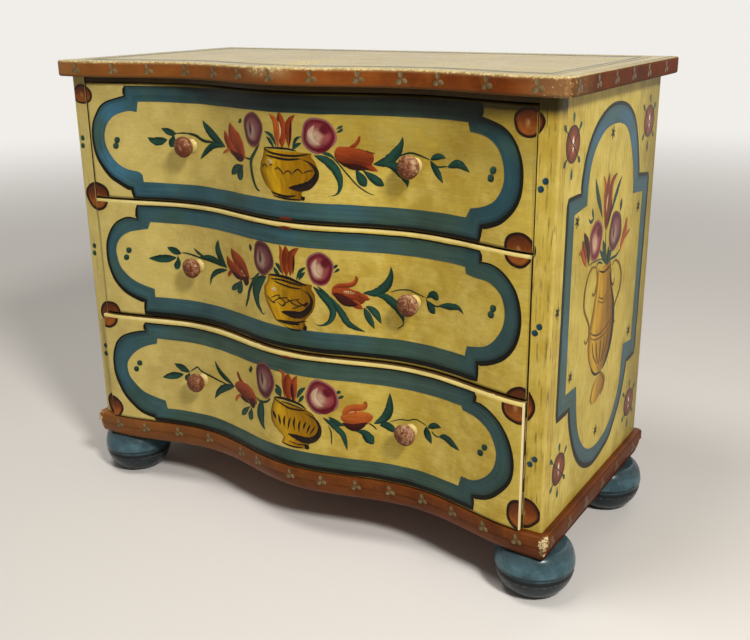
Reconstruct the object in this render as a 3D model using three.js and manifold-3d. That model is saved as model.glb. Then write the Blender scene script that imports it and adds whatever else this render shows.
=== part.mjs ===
// A painted pine chest of three drawers on turned bun feet, in millimetres.
// +X runs to the viewer's right, +Y to the back and +Z up; z is 0 at the floor.
// The front is serpentine in plan: corners and centre stand forward, with a valley on each side.
// Inside the chest y is 0 at the plane of the two front corners.

import * as THREE from 'three';
import { mergeVertices } from 'three/addons/utils/BufferGeometryUtils.js';
import Module from 'manifold-3d';

const wasm = await Module();
wasm.setup();

// Case, measured without the overhangs
const CASE_WIDTH = 720;
const CASE_DEPTH = 340;
const CASE_HEIGHT = 503;
const LOW_SPACE = 164;                  // height kept for the lowest drawer front
const HIGH_SPACE = 161;                 // height kept for the top one; the middle one gets the rest
const TOP_STRIP = 7;                    // rail face that shows above the top drawer
const SIDE_THICK = 18;
const STILE_WIDTH = 24;
const STILE_THICK = 18;
const STILE_ARRIS = 3;
const TONGUE_WIDTH = 6;
const TONGUE_LENGTH = 7;
const HOUSING_DEPTH = 7;

// Serpentine front
const CURVE_DEPTH = 30;                 // from the corner plane back to a valley
const CURVE_FLAT = 15;                  // straight stretch at each corner
const CURVE_STEPS = 32;

// Top board
const TOP_THICK = 22;
const TOP_OVERHANG = 14;
const TOP_OVERHANG_SIDE = 16;
const TOP_OVERHANG_BACK = 20;
const TOP_CORNER = 9;
const TOP_ARRIS = 3;

// Base board
const BASE_THICK = 34;
const BASE_OVERHANG = 10;
const BASE_CORNER = 4;
const BASE_ARRIS = 4;
const BASE_SWEEP_OUT = 10;              // the moulded lower edge goes in by this much
const BASE_SWEEP_RISE = 22;

// Turned feet
const FOOT_HEIGHT = 65;
const FOOT_RADIUS = 50;
const FOOT_BELLY_HEIGHT = 40;
const FOOT_FLAT_RADIUS = 20;
const FOOT_TOP_RADIUS = 36;
const FOOT_GROOVE_HEIGHT = 34;
const FOOT_GROOVE_WIDTH = 6;
const FOOT_GROOVE_DEPTH = 2.5;
const FOOT_INBOARD = 23;                // foot axis inside the case side
const FOOT_BACK_FROM_FRONT = 38;
const FOOT_FRONT_OF_BACK = 47;
const TENON_RADIUS = 14;
const TENON_LENGTH = 24;

// Rails, runners and back
const RAIL_THICK = 18;
const RAIL_WIDTH = 30;                  // narrowest place, behind a valley
const RAIL_HOUSING = 6;
const STRIP_SETBACK = 1;
const BACK_RAIL_WIDTH = 42;
const RUNNER_WIDTH = 28;
const GUIDE_HEIGHT = 14;
const BACK_THICK = 10;
const BACK_LAP = 9;                     // how far the planks reach over the side boards
const BACK_PLANKS = 3;
const SHIPLAP = 8;

// Drawers
const FRONT_THICK = 22;
const FRONT_ARRIS_TOP = 4;
const FRONT_ARRIS_LOW = 1.5;
const FRONT_LAP = 7;                    // wood left in front of the dovetail sockets
const DRAWER_SIDE = 12;
const DRAWER_BACK = 12;
const DRAWER_BOTTOM = 6;
const GROOVE_DEPTH = 5;
const GROOVE_HEIGHT = 8;                // from the underside of the box up to its groove
const REAR_ROOM = 8;
const TAIL_COUNT = 3;
const TAIL_ROOT_SHARE = 0.46;           // of a tail's pitch, at the shoulder
const TAIL_TIP_SHARE = 0.64;            // of a tail's pitch, at its end
const DRAWER_AJAR = [10, 2, 0];         // how far each drawer stands out at rest, bottom one first

// Turned knobs
const KNOB_RADIUS = 14;
const KNOB_LENGTH = 27;
const KNOB_FLANGE_RADIUS = 9;
const KNOB_FLANGE_THICK = 2.5;
const KNOB_NECK_RADIUS = 6.5;
const KNOB_HEAD_LENGTH = 17;
const SPIGOT_RADIUS = 5;

// Clearances
const GLUE_GAP = 0.3;
const RUN_GAP = 0.3;
const SLIDE_GAP = 1.2;
const FRONT_GAP = 2.5;
const HEAD_GAP = 3;
const STOP_GAP = 0.5;
const KNOB_SEAT_GAP = 0.5;
const CUT_OVERRUN = 2;
const SHORTEST_EDGE = 1;
const LEAST_BEND = 0.001;               // in square millimetres, across two neighbouring edges

// Facets of round work
const ARC_STEPS = 3;
const FOOT_ROUND_STEPS = 24;
const KNOB_ROUND_STEPS = 20;
const BALL_STEPS = 4;
const HOLE_STEPS = 16;

// Places that follow from the sizes above
const HALF = CASE_WIDTH / 2;
const CURVE_HALF = HALF - CURVE_FLAT;
const SIDE_INNER = HALF - SIDE_THICK;
const STILE_INNER = HALF - STILE_WIDTH;
const BASE_TOP = FOOT_HEIGHT + BASE_THICK;
const TOP_UNDER = BASE_TOP + CASE_HEIGHT;
const SPACE_LEVELS = [
    BASE_TOP, BASE_TOP + LOW_SPACE, TOP_UNDER - TOP_STRIP - HIGH_SPACE, TOP_UNDER - TOP_STRIP];
const DRAWER_COUNT = DRAWER_AJAR.length;
const BACK_INNER = CASE_DEPTH - BACK_THICK;
const RAIL_REACH = SIDE_INNER + RAIL_HOUSING - GLUE_GAP;
const RAIL_FRONT = FRONT_THICK + STOP_GAP;
const RAIL_BACK = CURVE_DEPTH + RAIL_FRONT + RAIL_WIDTH;
const HALF_RAIL = RAIL_THICK / 2;
const BOX_HALF = STILE_INNER - SLIDE_GAP;
const BOX_INNER = BOX_HALF - DRAWER_SIDE;
const BOX_BACK = BACK_INNER - REAR_ROOM;
const KNOB_X = CURVE_HALF / 2;
const KNOB_Y = frontY(KNOB_X) - KNOB_SEAT_GAP;

// Painted and bare finishes
const paint = (color, roughness) => new THREE.MeshStandardMaterial({ color, roughness, metalness: 0 });
const yellowPaint = () => paint('#c9b25c', 0.45);
const redPaint = () => paint('#9a4528', 0.5);
const bluePaint = () => paint('#48697a', 0.45);
const knobPaint = () => paint('#b5795a', 0.4);
const barePine = () => paint('#c69c66', 0.75);

const chest = new THREE.Group();

// Solids: closed geometry in, joined or cut solids out
function toSolid(shape) {
    if (shape instanceof wasm.Manifold) return shape;
    const source = shape.clone();
    source.deleteAttribute('normal');
    source.deleteAttribute('uv');
    const merged = mergeVertices(source);
    const corners = merged.index.array;
    const triangles = [];
    for (let i = 0; i < corners.length; i += 3) {
        const [a, b, c] = corners.slice(i, i + 3);
        if (a !== b && b !== c && c !== a) triangles.push(a, b, c);
    }
    return meshSolid(merged.attributes.position.array, triangles);
}

function meshSolid(places, triangles) {
    return new wasm.Manifold(new wasm.Mesh({
        numProp: 3,
        vertProperties: new Float32Array(places),
        triVerts: new Uint32Array(triangles),
    }));
}

function toGeometry(solid) {
    const mesh = solid.getMesh();
    const geometry = new THREE.BufferGeometry();
    geometry.setAttribute('position', new THREE.BufferAttribute(new Float32Array(mesh.vertProperties), 3));
    geometry.setIndex(new THREE.BufferAttribute(new Uint32Array(mesh.triVerts), 1));
    return geometry;
}

function cut(shape, cutters) {
    return cutters.reduce((solid, cutter) => solid.subtract(toSolid(cutter)), toSolid(shape));
}

function join(shapes) {
    return shapes.map(toSolid).reduce((solid, other) => solid.add(other));
}

// The left-hand copy of a right-hand piece
function mirrored(shape) {
    const mesh = toSolid(shape).getMesh();
    const places = mesh.vertProperties.map((value, i) => (i % 3 === 0 ? -value : value));
    return meshSolid(places, mesh.triVerts.reverse());
}

function addPiece(name, shape, material, parent = chest) {
    const mesh = new THREE.Mesh(toGeometry(toSolid(shape)), material);
    mesh.name = name;
    parent.add(mesh);
    return mesh;
}

function addPair(name, shape, finish, parent = chest, suffix = '') {
    addPiece(`${name}_right${suffix}`, shape, finish(), parent);
    addPiece(`${name}_left${suffix}`, mirrored(shape), finish(), parent);
}

// Sawn stock: an outline given in plan, from the side or from the end, and run along the third axis
const points = (pairs) => pairs.map(([u, v]) => new THREE.Vector2(u, v));

// A straight run keeps no point in its middle
function bendsOnly(outline, placeOf = (point) => point) {
    return outline.filter((point, i) => {
        const here = placeOf(point);
        const before = placeOf(outline.at(i - 1));
        const after = placeOf(outline[(i + 1) % outline.length]);
        const bend = here.clone().sub(before).cross(after.clone().sub(here));
        return Math.abs(bend) > LEAST_BEND;
    });
}

function extruded(outline, depth) {
    return new THREE.ExtrudeGeometry(new THREE.Shape(bendsOnly(outline)), { depth, bevelEnabled: false });
}

function planSolid(outline, low, high) {
    return extruded(outline, high - low).translate(0, 0, low);
}

function sideSolid(outline, left, right) {
    const turn = new THREE.Matrix4().makeBasis(
        new THREE.Vector3(0, 1, 0), new THREE.Vector3(0, 0, 1), new THREE.Vector3(1, 0, 0));
    return extruded(outline, right - left).applyMatrix4(turn).translate(left, 0, 0);
}

function endSolid(outline, front, back) {
    return extruded(outline, back - front).rotateX(Math.PI / 2).translate(0, back, 0);
}

function block(left, right, front, back, low, high) {
    return new THREE.BoxGeometry(right - left, back - front, high - low)
        .translate((left + right) / 2, (front + back) / 2, (low + high) / 2);
}

function turned(profile, steps) {
    return new THREE.LatheGeometry(profile, steps).rotateX(Math.PI / 2);
}

function dowelHole(x, y, radius, low, high) {
    return new THREE.CylinderGeometry(radius, radius, high - low, HOLE_STEPS)
        .rotateX(Math.PI / 2)
        .translate(x, y, (low + high) / 2);
}

// The serpentine line and the work that follows it
function frontY(x) {
    if (Math.abs(x) >= CURVE_HALF) return 0;
    return CURVE_DEPTH / 2 * (1 - Math.cos(2 * Math.PI * x / CURVE_HALF));
}

function frontLine(reach, setback) {
    const stations = [-reach];
    for (let i = 0; i <= CURVE_STEPS; i++) {
        const x = CURVE_HALF * (2 * i / CURVE_STEPS - 1);
        if (Math.abs(x) < reach - SHORTEST_EDGE) stations.push(x);
    }
    stations.push(reach);
    return stations.map((x) => new THREE.Vector2(x, frontY(x) + setback));
}

function serpentineStrip(reach, setback, width) {
    return [...frontLine(reach, setback), ...frontLine(reach, setback + width).reverse()];
}

function serpentineToStraight(reach, setback, back) {
    return [...frontLine(reach, setback), ...points([[reach, back], [-reach, back]])];
}

// A board's outline, each point with the direction in which its edge moulding moves it
function edged(at, outX, outY) {
    return { at, out: new THREE.Vector2(outX, outY) };
}

function boardOutline(overhang, overhangSide, overhangBack, corner) {
    const reach = HALF + overhangSide;
    const back = CASE_DEPTH + overhangBack;
    const arcX = reach - corner;
    const arcY = frontY(arcX) - overhang + corner;
    const arc = (side) => {
        const turns = Array.from({ length: ARC_STEPS * 2 + 1 }, (_, i) => i / (ARC_STEPS * 2) * Math.PI / 2);
        return turns.map((turn) => {
            const at = new THREE.Vector2(
                side * (arcX + corner * Math.cos(turn)), arcY - corner * Math.sin(turn));
            return edged(at, side, -1);
        });
    };
    const front = frontLine(arcX, -overhang).slice(1, -1).map((at) => edged(at, 0, -1));
    return [
        edged(new THREE.Vector2(reach, back), 1, 1),
        edged(new THREE.Vector2(-reach, back), -1, 1),
        ...arc(-1), ...front, ...arc(1).reverse(),
    ];
}

// Quarter-round edges: a lower one and an upper one, each with how far in it goes and its height
function edgeProfile(low, high, lowIn, lowRise, highIn, highRise) {
    const quarter = Array.from({ length: ARC_STEPS + 1 }, (_, i) => i / ARC_STEPS * Math.PI / 2);
    const lower = quarter.map((turn) => [lowIn * (Math.sin(turn) - 1), low + lowRise * (1 - Math.cos(turn))]);
    const upper = quarter.map((turn) => [highIn * (Math.cos(turn) - 1), high - highRise * (1 - Math.sin(turn))]);
    return [...lower, ...upper];
}

// An outline raised through the levels of a profile, with a flat face below and above
function moulded(wholeOutline, profile) {
    const outline = bendsOnly(wholeOutline, ({ at }) => at);
    const rings = profile.map(([shift, z]) => outline.map(({ at, out }) =>
        new THREE.Vector3(at.x + out.x * shift, at.y + out.y * shift, z)));
    const count = outline.length;
    const corners = [];
    rings.slice(1).forEach((upper, level) => {
        const lower = rings[level];
        upper.forEach((_, i) => {
            const next = (i + 1) % count;
            corners.push(lower[i], lower[next], upper[next], lower[i], upper[next], upper[i]);
        });
    });
    const cap = (ring) => THREE.ShapeUtils.triangulateShape(ring.map((at) => new THREE.Vector2(at.x, at.y)), [])
        .map((face) => face.map((i) => ring[i]));
    cap(rings[0]).forEach(([a, b, c]) => corners.push(a, c, b));
    cap(rings[rings.length - 1]).forEach(([a, b, c]) => corners.push(a, b, c));
    return new THREE.BufferGeometry().setFromPoints(corners);
}

// Side boards stand in housings in the base board and the top board
const sideHousings = (low, high) => [1, -1].map((side) => {
    const [left, right] = [SIDE_INNER - GLUE_GAP, HALF + GLUE_GAP].map((x) => x * side).sort((a, b) => a - b);
    return block(left, right, STILE_THICK, CASE_DEPTH + GLUE_GAP, low, high);
});

// Base board, with its moulded serpentine edge and four holes for the foot tenons
const footPlaces = [
    ['foot_front_right', HALF - FOOT_INBOARD, FOOT_BACK_FROM_FRONT],
    ['foot_front_left', FOOT_INBOARD - HALF, FOOT_BACK_FROM_FRONT],
    ['foot_back_right', HALF - FOOT_INBOARD, CASE_DEPTH - FOOT_FRONT_OF_BACK],
    ['foot_back_left', FOOT_INBOARD - HALF, CASE_DEPTH - FOOT_FRONT_OF_BACK],
];
const tenonHoles = footPlaces.map(([, x, y]) => dowelHole(
    x, y, TENON_RADIUS + GLUE_GAP, FOOT_HEIGHT - CUT_OVERRUN, FOOT_HEIGHT + TENON_LENGTH + GLUE_GAP));
const baseProfile = edgeProfile(
    FOOT_HEIGHT, BASE_TOP, BASE_SWEEP_OUT, BASE_SWEEP_RISE, BASE_ARRIS, BASE_ARRIS);
addPiece('base_board', cut(
    moulded(boardOutline(BASE_OVERHANG, BASE_OVERHANG, BASE_OVERHANG, BASE_CORNER), baseProfile),
    [...sideHousings(BASE_TOP - HOUSING_DEPTH, BASE_TOP + CUT_OVERRUN), ...tenonHoles]), redPaint());

// Top board, with rounded front corners and softened arrises
const topProfile = edgeProfile(
    TOP_UNDER, TOP_UNDER + TOP_THICK, TOP_ARRIS, TOP_ARRIS, TOP_ARRIS, TOP_ARRIS);
addPiece('top_board', cut(
    moulded(boardOutline(TOP_OVERHANG, TOP_OVERHANG_SIDE, TOP_OVERHANG_BACK, TOP_CORNER), topProfile),
    sideHousings(TOP_UNDER - CUT_OVERRUN, TOP_UNDER + HOUSING_DEPTH)), redPaint());

// Bun feet: one turning each, with a cut groove below the belly and a tenon on top
function quarterEllipse(fromRadius, toRadius, fromHeight, toHeight, rising) {
    return Array.from({ length: BALL_STEPS + 1 }, (_, i) => {
        const turn = i / BALL_STEPS * Math.PI / 2;
        const out = rising ? Math.sin(turn) : 1 - Math.cos(turn);
        const up = rising ? 1 - Math.cos(turn) : Math.sin(turn);
        return new THREE.Vector2(
            THREE.MathUtils.lerp(fromRadius, toRadius, out), THREE.MathUtils.lerp(fromHeight, toHeight, up));
    });
}

function footProfile() {
    const shoulder = FOOT_HEIGHT - GLUE_GAP;
    const lower = quarterEllipse(FOOT_FLAT_RADIUS, FOOT_RADIUS, 0, FOOT_BELLY_HEIGHT, true);
    const upper = quarterEllipse(FOOT_RADIUS, FOOT_TOP_RADIUS, FOOT_BELLY_HEIGHT, shoulder, false);
    const surface = (height) => {
        const drop = 1 - height / FOOT_BELLY_HEIGHT;
        return FOOT_FLAT_RADIUS + (FOOT_RADIUS - FOOT_FLAT_RADIUS) * Math.sqrt(1 - drop * drop);
    };
    const grooveLow = FOOT_GROOVE_HEIGHT - FOOT_GROOVE_WIDTH / 2;
    const grooveHigh = FOOT_GROOVE_HEIGHT + FOOT_GROOVE_WIDTH / 2;
    return [
        new THREE.Vector2(0, 0),
        ...lower.filter((at) => at.y < grooveLow - SHORTEST_EDGE),
        ...points([
            [surface(grooveLow), grooveLow],
            [surface(FOOT_GROOVE_HEIGHT) - FOOT_GROOVE_DEPTH, FOOT_GROOVE_HEIGHT],
            [surface(grooveHigh), grooveHigh],
        ]),
        ...upper,
        ...points([
            [TENON_RADIUS, shoulder],
            [TENON_RADIUS, FOOT_HEIGHT + TENON_LENGTH],
            [0, FOOT_HEIGHT + TENON_LENGTH],
        ]),
    ];
}
footPlaces.forEach(([name, x, y]) => {
    addPiece(name, turned(footProfile(), FOOT_ROUND_STEPS), bluePaint()).position.set(x, y, 0);
});

// Side boards: a tongue at the front for the stile, a rebate at the back for the planks
const tongueMiddle = (SIDE_INNER + HALF) / 2;
const sideFront = STILE_THICK + GLUE_GAP;
const sideOutline = points([
    [SIDE_INNER, sideFront],
    [HALF, sideFront],
    [HALF, CASE_DEPTH],
    [SIDE_INNER + BACK_LAP, CASE_DEPTH],
    [SIDE_INNER + BACK_LAP, BACK_INNER - GLUE_GAP],
    [SIDE_INNER, BACK_INNER - GLUE_GAP],
]);
const tongue = block(
    tongueMiddle - TONGUE_WIDTH / 2, tongueMiddle + TONGUE_WIDTH / 2,
    sideFront - TONGUE_LENGTH, sideFront + TONGUE_WIDTH,
    BASE_TOP + GLUE_GAP, TOP_UNDER - GLUE_GAP);
const dividerLevels = SPACE_LEVELS.slice(1, -1);
const topSpace = SPACE_LEVELS.at(-1);
const railPocket = (front, back, low, high) => block(
    SIDE_INNER - CUT_OVERRUN, SIDE_INNER + RAIL_HOUSING,
    front - GLUE_GAP, back + GLUE_GAP, low - GLUE_GAP, high + GLUE_GAP);
const railPockets = [
    ...dividerLevels.map((level) => railPocket(RAIL_FRONT, RAIL_BACK, level - HALF_RAIL, level + HALF_RAIL)),
    railPocket(RAIL_FRONT, RAIL_BACK, topSpace - HALF_RAIL, TOP_UNDER - GLUE_GAP),
    railPocket(
        BACK_INNER - BACK_RAIL_WIDTH - GLUE_GAP, BACK_INNER - GLUE_GAP,
        topSpace - HALF_RAIL, TOP_UNDER - GLUE_GAP),
];
const sideBoard = join([
    planSolid(sideOutline, BASE_TOP - HOUSING_DEPTH + GLUE_GAP, TOP_UNDER + HOUSING_DEPTH - GLUE_GAP), tongue]);
addPair('side_board', cut(sideBoard, railPockets), yellowPaint);

// Front stiles: the corner posts beside the drawers, grooved for the side boards' tongues
const stileOutline = [
    ...points([[STILE_INNER, frontY(STILE_INNER)], [CURVE_HALF, 0]]),
    ...Array.from({ length: ARC_STEPS + 1 }, (_, i) => {
        const turn = i / ARC_STEPS * Math.PI / 2;
        return new THREE.Vector2(
            HALF - STILE_ARRIS * (1 - Math.sin(turn)), STILE_ARRIS * (1 - Math.cos(turn)));
    }),
    ...points([
        [HALF, STILE_THICK],
        [tongueMiddle + TONGUE_WIDTH / 2 + GLUE_GAP, STILE_THICK],
        [tongueMiddle + TONGUE_WIDTH / 2 + GLUE_GAP, sideFront - TONGUE_LENGTH - GLUE_GAP],
        [tongueMiddle - TONGUE_WIDTH / 2 - GLUE_GAP, sideFront - TONGUE_LENGTH - GLUE_GAP],
        [tongueMiddle - TONGUE_WIDTH / 2 - GLUE_GAP, STILE_THICK],
        [STILE_INNER, STILE_THICK],
    ]),
];
addPair('stile', planSolid(stileOutline, BASE_TOP + GLUE_GAP, TOP_UNDER - GLUE_GAP), yellowPaint);

// Divider rails: serpentine in front, behind the meeting lips of two drawer fronts
const railOutline = serpentineToStraight(RAIL_REACH, RAIL_FRONT, RAIL_BACK);
['divider_rail_lower', 'divider_rail_upper'].forEach((name, i) => {
    const level = dividerLevels[i];
    addPiece(name, planSolid(railOutline, level - HALF_RAIL, level + HALF_RAIL), barePine());
});

// Top rails: the front one carries the strip that shows above the top drawer
addPiece('top_rail_front', join([
    planSolid(railOutline, topSpace - HALF_RAIL, TOP_UNDER - GLUE_GAP),
    planSolid(
        serpentineToStraight(STILE_INNER - GLUE_GAP, STRIP_SETBACK, RAIL_BACK),
        topSpace, TOP_UNDER - GLUE_GAP),
]), redPaint());
addPiece('top_rail_back', block(
    -RAIL_REACH, RAIL_REACH, BACK_INNER - BACK_RAIL_WIDTH - GLUE_GAP, BACK_INNER - GLUE_GAP,
    topSpace - HALF_RAIL, TOP_UNDER - GLUE_GAP), barePine());

// Back planks: shiplapped, nailed into the rebates of the side boards
const backMiddle = (BACK_INNER + CASE_DEPTH) / 2;
const backReach = SIDE_INNER + BACK_LAP - GLUE_GAP;
const plankHeight = (CASE_HEIGHT - GLUE_GAP) / BACK_PLANKS;
Array.from({ length: BACK_PLANKS }, (_, i) => {
    const low = BASE_TOP + GLUE_GAP + i * plankHeight;
    const high = low + plankHeight - GLUE_GAP;
    const lip = i > 0 ? SHIPLAP : 0;
    const tab = i < BACK_PLANKS - 1 ? SHIPLAP : 0;
    const outline = points([
        [BACK_INNER, low],
        [backMiddle + GLUE_GAP, low],
        [backMiddle + GLUE_GAP, low - lip],
        [CASE_DEPTH, low - lip],
        [CASE_DEPTH, high - tab],
        [backMiddle, high - tab],
        [backMiddle, high],
        [BACK_INNER, high],
    ]);
    return addPiece(`back_plank_${i + 1}`, sideSolid(outline, -backReach, backReach), barePine());
});

// Runners: an L in section, a ledge to run on and a fillet that guides the drawer side
function runnerOutline(low, high) {
    const outer = SIDE_INNER - GLUE_GAP;
    return points([
        [outer - RUNNER_WIDTH, low],
        [outer, low],
        [outer, high + GUIDE_HEIGHT],
        [STILE_INNER, high + GUIDE_HEIGHT],
        [STILE_INNER, high],
        [outer - RUNNER_WIDTH, high],
    ]);
}
SPACE_LEVELS.slice(0, -1).forEach((level, i) => {
    const lowest = i === 0;
    const front = lowest ? frontY(SIDE_INNER - RUNNER_WIDTH - GLUE_GAP) + RAIL_FRONT : RAIL_BACK + GLUE_GAP;
    const outline = runnerOutline(lowest ? level + GLUE_GAP : level - HALF_RAIL, level + HALF_RAIL);
    const runner = endSolid(outline, front, BACK_INNER - GLUE_GAP);
    addPair('runner', runner, barePine, chest, `_${DRAWER_COUNT - i}`);
});

// Kickers: keep the top drawer from tipping when it is pulled out
addPair('kicker', block(
    SIDE_INNER - GLUE_GAP - RUNNER_WIDTH, SIDE_INNER - GLUE_GAP,
    RAIL_BACK + GLUE_GAP, BACK_INNER - BACK_RAIL_WIDTH - 2 * GLUE_GAP,
    topSpace - HALF_RAIL, TOP_UNDER - GLUE_GAP), barePine);

// Dovetails: tails cut on a drawer side, from root to tip across its end
function tailsBetween(low, high) {
    const pitch = (high - low) / TAIL_COUNT;
    return Array.from({ length: TAIL_COUNT }, (_, i) => {
        const middle = low + (i + 1 / 2) * pitch;
        return { middle, root: pitch * TAIL_ROOT_SHARE / 2, tip: pitch * TAIL_TIP_SHARE / 2 };
    });
}

// What the tails take out of the board they enter, run on past their tips
function socketCutters(tails, shoulder, tipPlace, past) {
    const length = Math.abs(tipPlace - shoulder);
    const end = tipPlace + Math.sign(tipPlace - shoulder) * past;
    return tails.map(({ middle, root, tip }) => {
        const wide = tip + (tip - root) * past / length + GLUE_GAP;
        const narrow = root + GLUE_GAP;
        const outline = points([
            [shoulder, middle - narrow], [end, middle - wide], [end, middle + wide], [shoulder, middle + narrow]]);
        return sideSolid(outline, BOX_INNER - GLUE_GAP, BOX_HALF + CUT_OVERRUN);
    });
}

// Knob: spigot, flange, neck and ball head on one axis, turned from a single piece
function knobProfile() {
    const headStart = KNOB_LENGTH - KNOB_HEAD_LENGTH;
    const headMiddle = headStart + KNOB_HEAD_LENGTH / 2;
    return [
        ...points([
            [0, GLUE_GAP - FRONT_THICK],
            [SPIGOT_RADIUS, GLUE_GAP - FRONT_THICK],
            [SPIGOT_RADIUS, 0],
            [KNOB_FLANGE_RADIUS, 0],
            [KNOB_FLANGE_RADIUS, KNOB_FLANGE_THICK],
            [KNOB_NECK_RADIUS, (KNOB_FLANGE_THICK + headStart) / 2],
        ]),
        ...quarterEllipse(KNOB_NECK_RADIUS, KNOB_RADIUS, headStart, headMiddle, true),
        ...quarterEllipse(KNOB_RADIUS, 0, headMiddle, KNOB_LENGTH, false).slice(1),
    ];
}

// A drawer, built shut: the bottom slides in grooves and passes under the back
function addDrawer(name, spaceLow, spaceHigh, ajar) {
    const drawer = new THREE.Group();
    drawer.position.y = -ajar;
    chest.add(drawer);

    const boxLow = spaceLow + HALF_RAIL + RUN_GAP;
    const boxHigh = spaceHigh - HALF_RAIL - HEAD_GAP;
    const grooveLow = boxLow + GROOVE_HEIGHT;
    const grooveHigh = grooveLow + DRAWER_BOTTOM + 2 * GLUE_GAP;
    const innerCurve = frontY(BOX_INNER);
    const shoulder = innerCurve + FRONT_THICK + GLUE_GAP;
    const frontTip = innerCurve + FRONT_LAP + GLUE_GAP;
    const backShoulder = BOX_BACK - DRAWER_BACK - GLUE_GAP;
    const backLow = grooveHigh;
    const frontTails = tailsBetween(boxLow, boxHigh);
    const backTails = tailsBetween(backLow, boxHigh);

    const sideOutlinePoints = points([
        [shoulder, boxLow],
        [BOX_BACK, boxLow],
        [BOX_BACK, backLow - GLUE_GAP],
        [backShoulder, backLow - GLUE_GAP],
        ...backTails.flatMap(({ middle, root, tip }) => [
            [backShoulder, middle - root], [BOX_BACK, middle - tip],
            [BOX_BACK, middle + tip], [backShoulder, middle + root]]),
        [backShoulder, boxHigh],
        [shoulder, boxHigh],
        ...frontTails.toReversed().flatMap(({ middle, root, tip }) => [
            [shoulder, middle + root], [frontTip, middle + tip],
            [frontTip, middle - tip], [shoulder, middle - root]]),
    ]);
    const sideGroove = block(
        BOX_INNER - CUT_OVERRUN, BOX_INNER + GROOVE_DEPTH,
        -CUT_OVERRUN, BOX_BACK + CUT_OVERRUN, grooveLow, grooveHigh);
    addPair(`${name}_side`, cut(sideSolid(sideOutlinePoints, BOX_INNER, BOX_HALF), [sideGroove]),
        barePine, drawer);

    const frontSockets = socketCutters(frontTails, shoulder, frontTip, GLUE_GAP);
    const backSockets = socketCutters(backTails, backShoulder, BOX_BACK, CUT_OVERRUN);

    const front = moulded(
        [...frontLine(BOX_HALF, 0).map((at) => edged(at, 0, -1)),
            ...frontLine(BOX_HALF, FRONT_THICK).reverse().map((at) => edged(at, 0, 0))],
        edgeProfile(
            spaceLow + FRONT_GAP / 2, spaceHigh - FRONT_GAP / 2,
            FRONT_ARRIS_LOW, FRONT_ARRIS_LOW, FRONT_ARRIS_TOP, FRONT_ARRIS_TOP));
    const frontGroove = planSolid(
        serpentineStrip(BOX_INNER + GROOVE_DEPTH, FRONT_THICK - GROOVE_DEPTH, GROOVE_DEPTH + CUT_OVERRUN),
        grooveLow, grooveHigh);
    const knobHeight = (spaceLow + spaceHigh) / 2;
    const spigotHoles = [KNOB_X, -KNOB_X].map((x) => new THREE.CylinderGeometry(
        SPIGOT_RADIUS + GLUE_GAP, SPIGOT_RADIUS + GLUE_GAP, CURVE_DEPTH + FRONT_THICK + CUT_OVERRUN, HOLE_STEPS)
        .translate(x, CURVE_DEPTH, knobHeight));
    addPiece(`${name}_front`, cut(
        front, [...frontSockets, ...frontSockets.map(mirrored), frontGroove, ...spigotHoles]),
        yellowPaint(), drawer);

    addPiece(`${name}_back`, cut(
        block(-BOX_HALF, BOX_HALF, BOX_BACK - DRAWER_BACK, BOX_BACK, backLow, boxHigh),
        [...backSockets, ...backSockets.map(mirrored)]), barePine(), drawer);

    addPiece(`${name}_bottom`, planSolid(
        serpentineToStraight(
            BOX_INNER + GROOVE_DEPTH - GLUE_GAP, FRONT_THICK - GROOVE_DEPTH + GLUE_GAP, BOX_BACK - GLUE_GAP),
        grooveLow + GLUE_GAP, grooveHigh - GLUE_GAP), barePine(), drawer);

    [['right', KNOB_X], ['left', -KNOB_X]].forEach(([side, x]) => {
        const knob = turned(knobProfile(), KNOB_ROUND_STEPS).rotateX(Math.PI / 2);
        addPiece(`${name}_knob_${side}`, knob, knobPaint(), drawer).position.set(x, KNOB_Y, knobHeight);
    });
}
DRAWER_AJAR.forEach((ajar, i) => {
    addDrawer(`drawer_${DRAWER_COUNT - i}`, SPACE_LEVELS[i], SPACE_LEVELS[i + 1], ajar);
});

// The origin is on the floor, under the middle of the top board
chest.position.y = (TOP_OVERHANG - CASE_DEPTH - TOP_OVERHANG_BACK) / 2;

export default chest;
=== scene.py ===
# A painted pine chest of three drawers on turned bun feet, built up in the order of its assembly.
# Lengths are in metres, or in millimetres times MM. Heights are above the floor.
import math
import random

import bmesh
import bpy
from mathutils import Matrix, Vector, noise


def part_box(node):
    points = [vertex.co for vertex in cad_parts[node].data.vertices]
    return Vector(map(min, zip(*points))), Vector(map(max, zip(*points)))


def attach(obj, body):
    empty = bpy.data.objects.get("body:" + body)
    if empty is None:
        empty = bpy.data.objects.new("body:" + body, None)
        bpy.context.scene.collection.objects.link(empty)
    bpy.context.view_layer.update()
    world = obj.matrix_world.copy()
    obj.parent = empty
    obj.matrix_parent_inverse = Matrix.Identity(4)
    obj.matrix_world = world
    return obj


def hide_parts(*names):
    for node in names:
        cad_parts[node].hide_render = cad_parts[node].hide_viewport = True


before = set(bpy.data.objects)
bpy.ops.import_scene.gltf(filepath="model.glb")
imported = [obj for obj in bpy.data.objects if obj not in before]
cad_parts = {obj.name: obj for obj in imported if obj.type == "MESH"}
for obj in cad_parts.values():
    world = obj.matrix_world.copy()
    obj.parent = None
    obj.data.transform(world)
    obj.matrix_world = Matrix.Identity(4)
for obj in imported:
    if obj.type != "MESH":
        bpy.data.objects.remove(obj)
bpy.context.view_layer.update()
MM = 0.001

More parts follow.
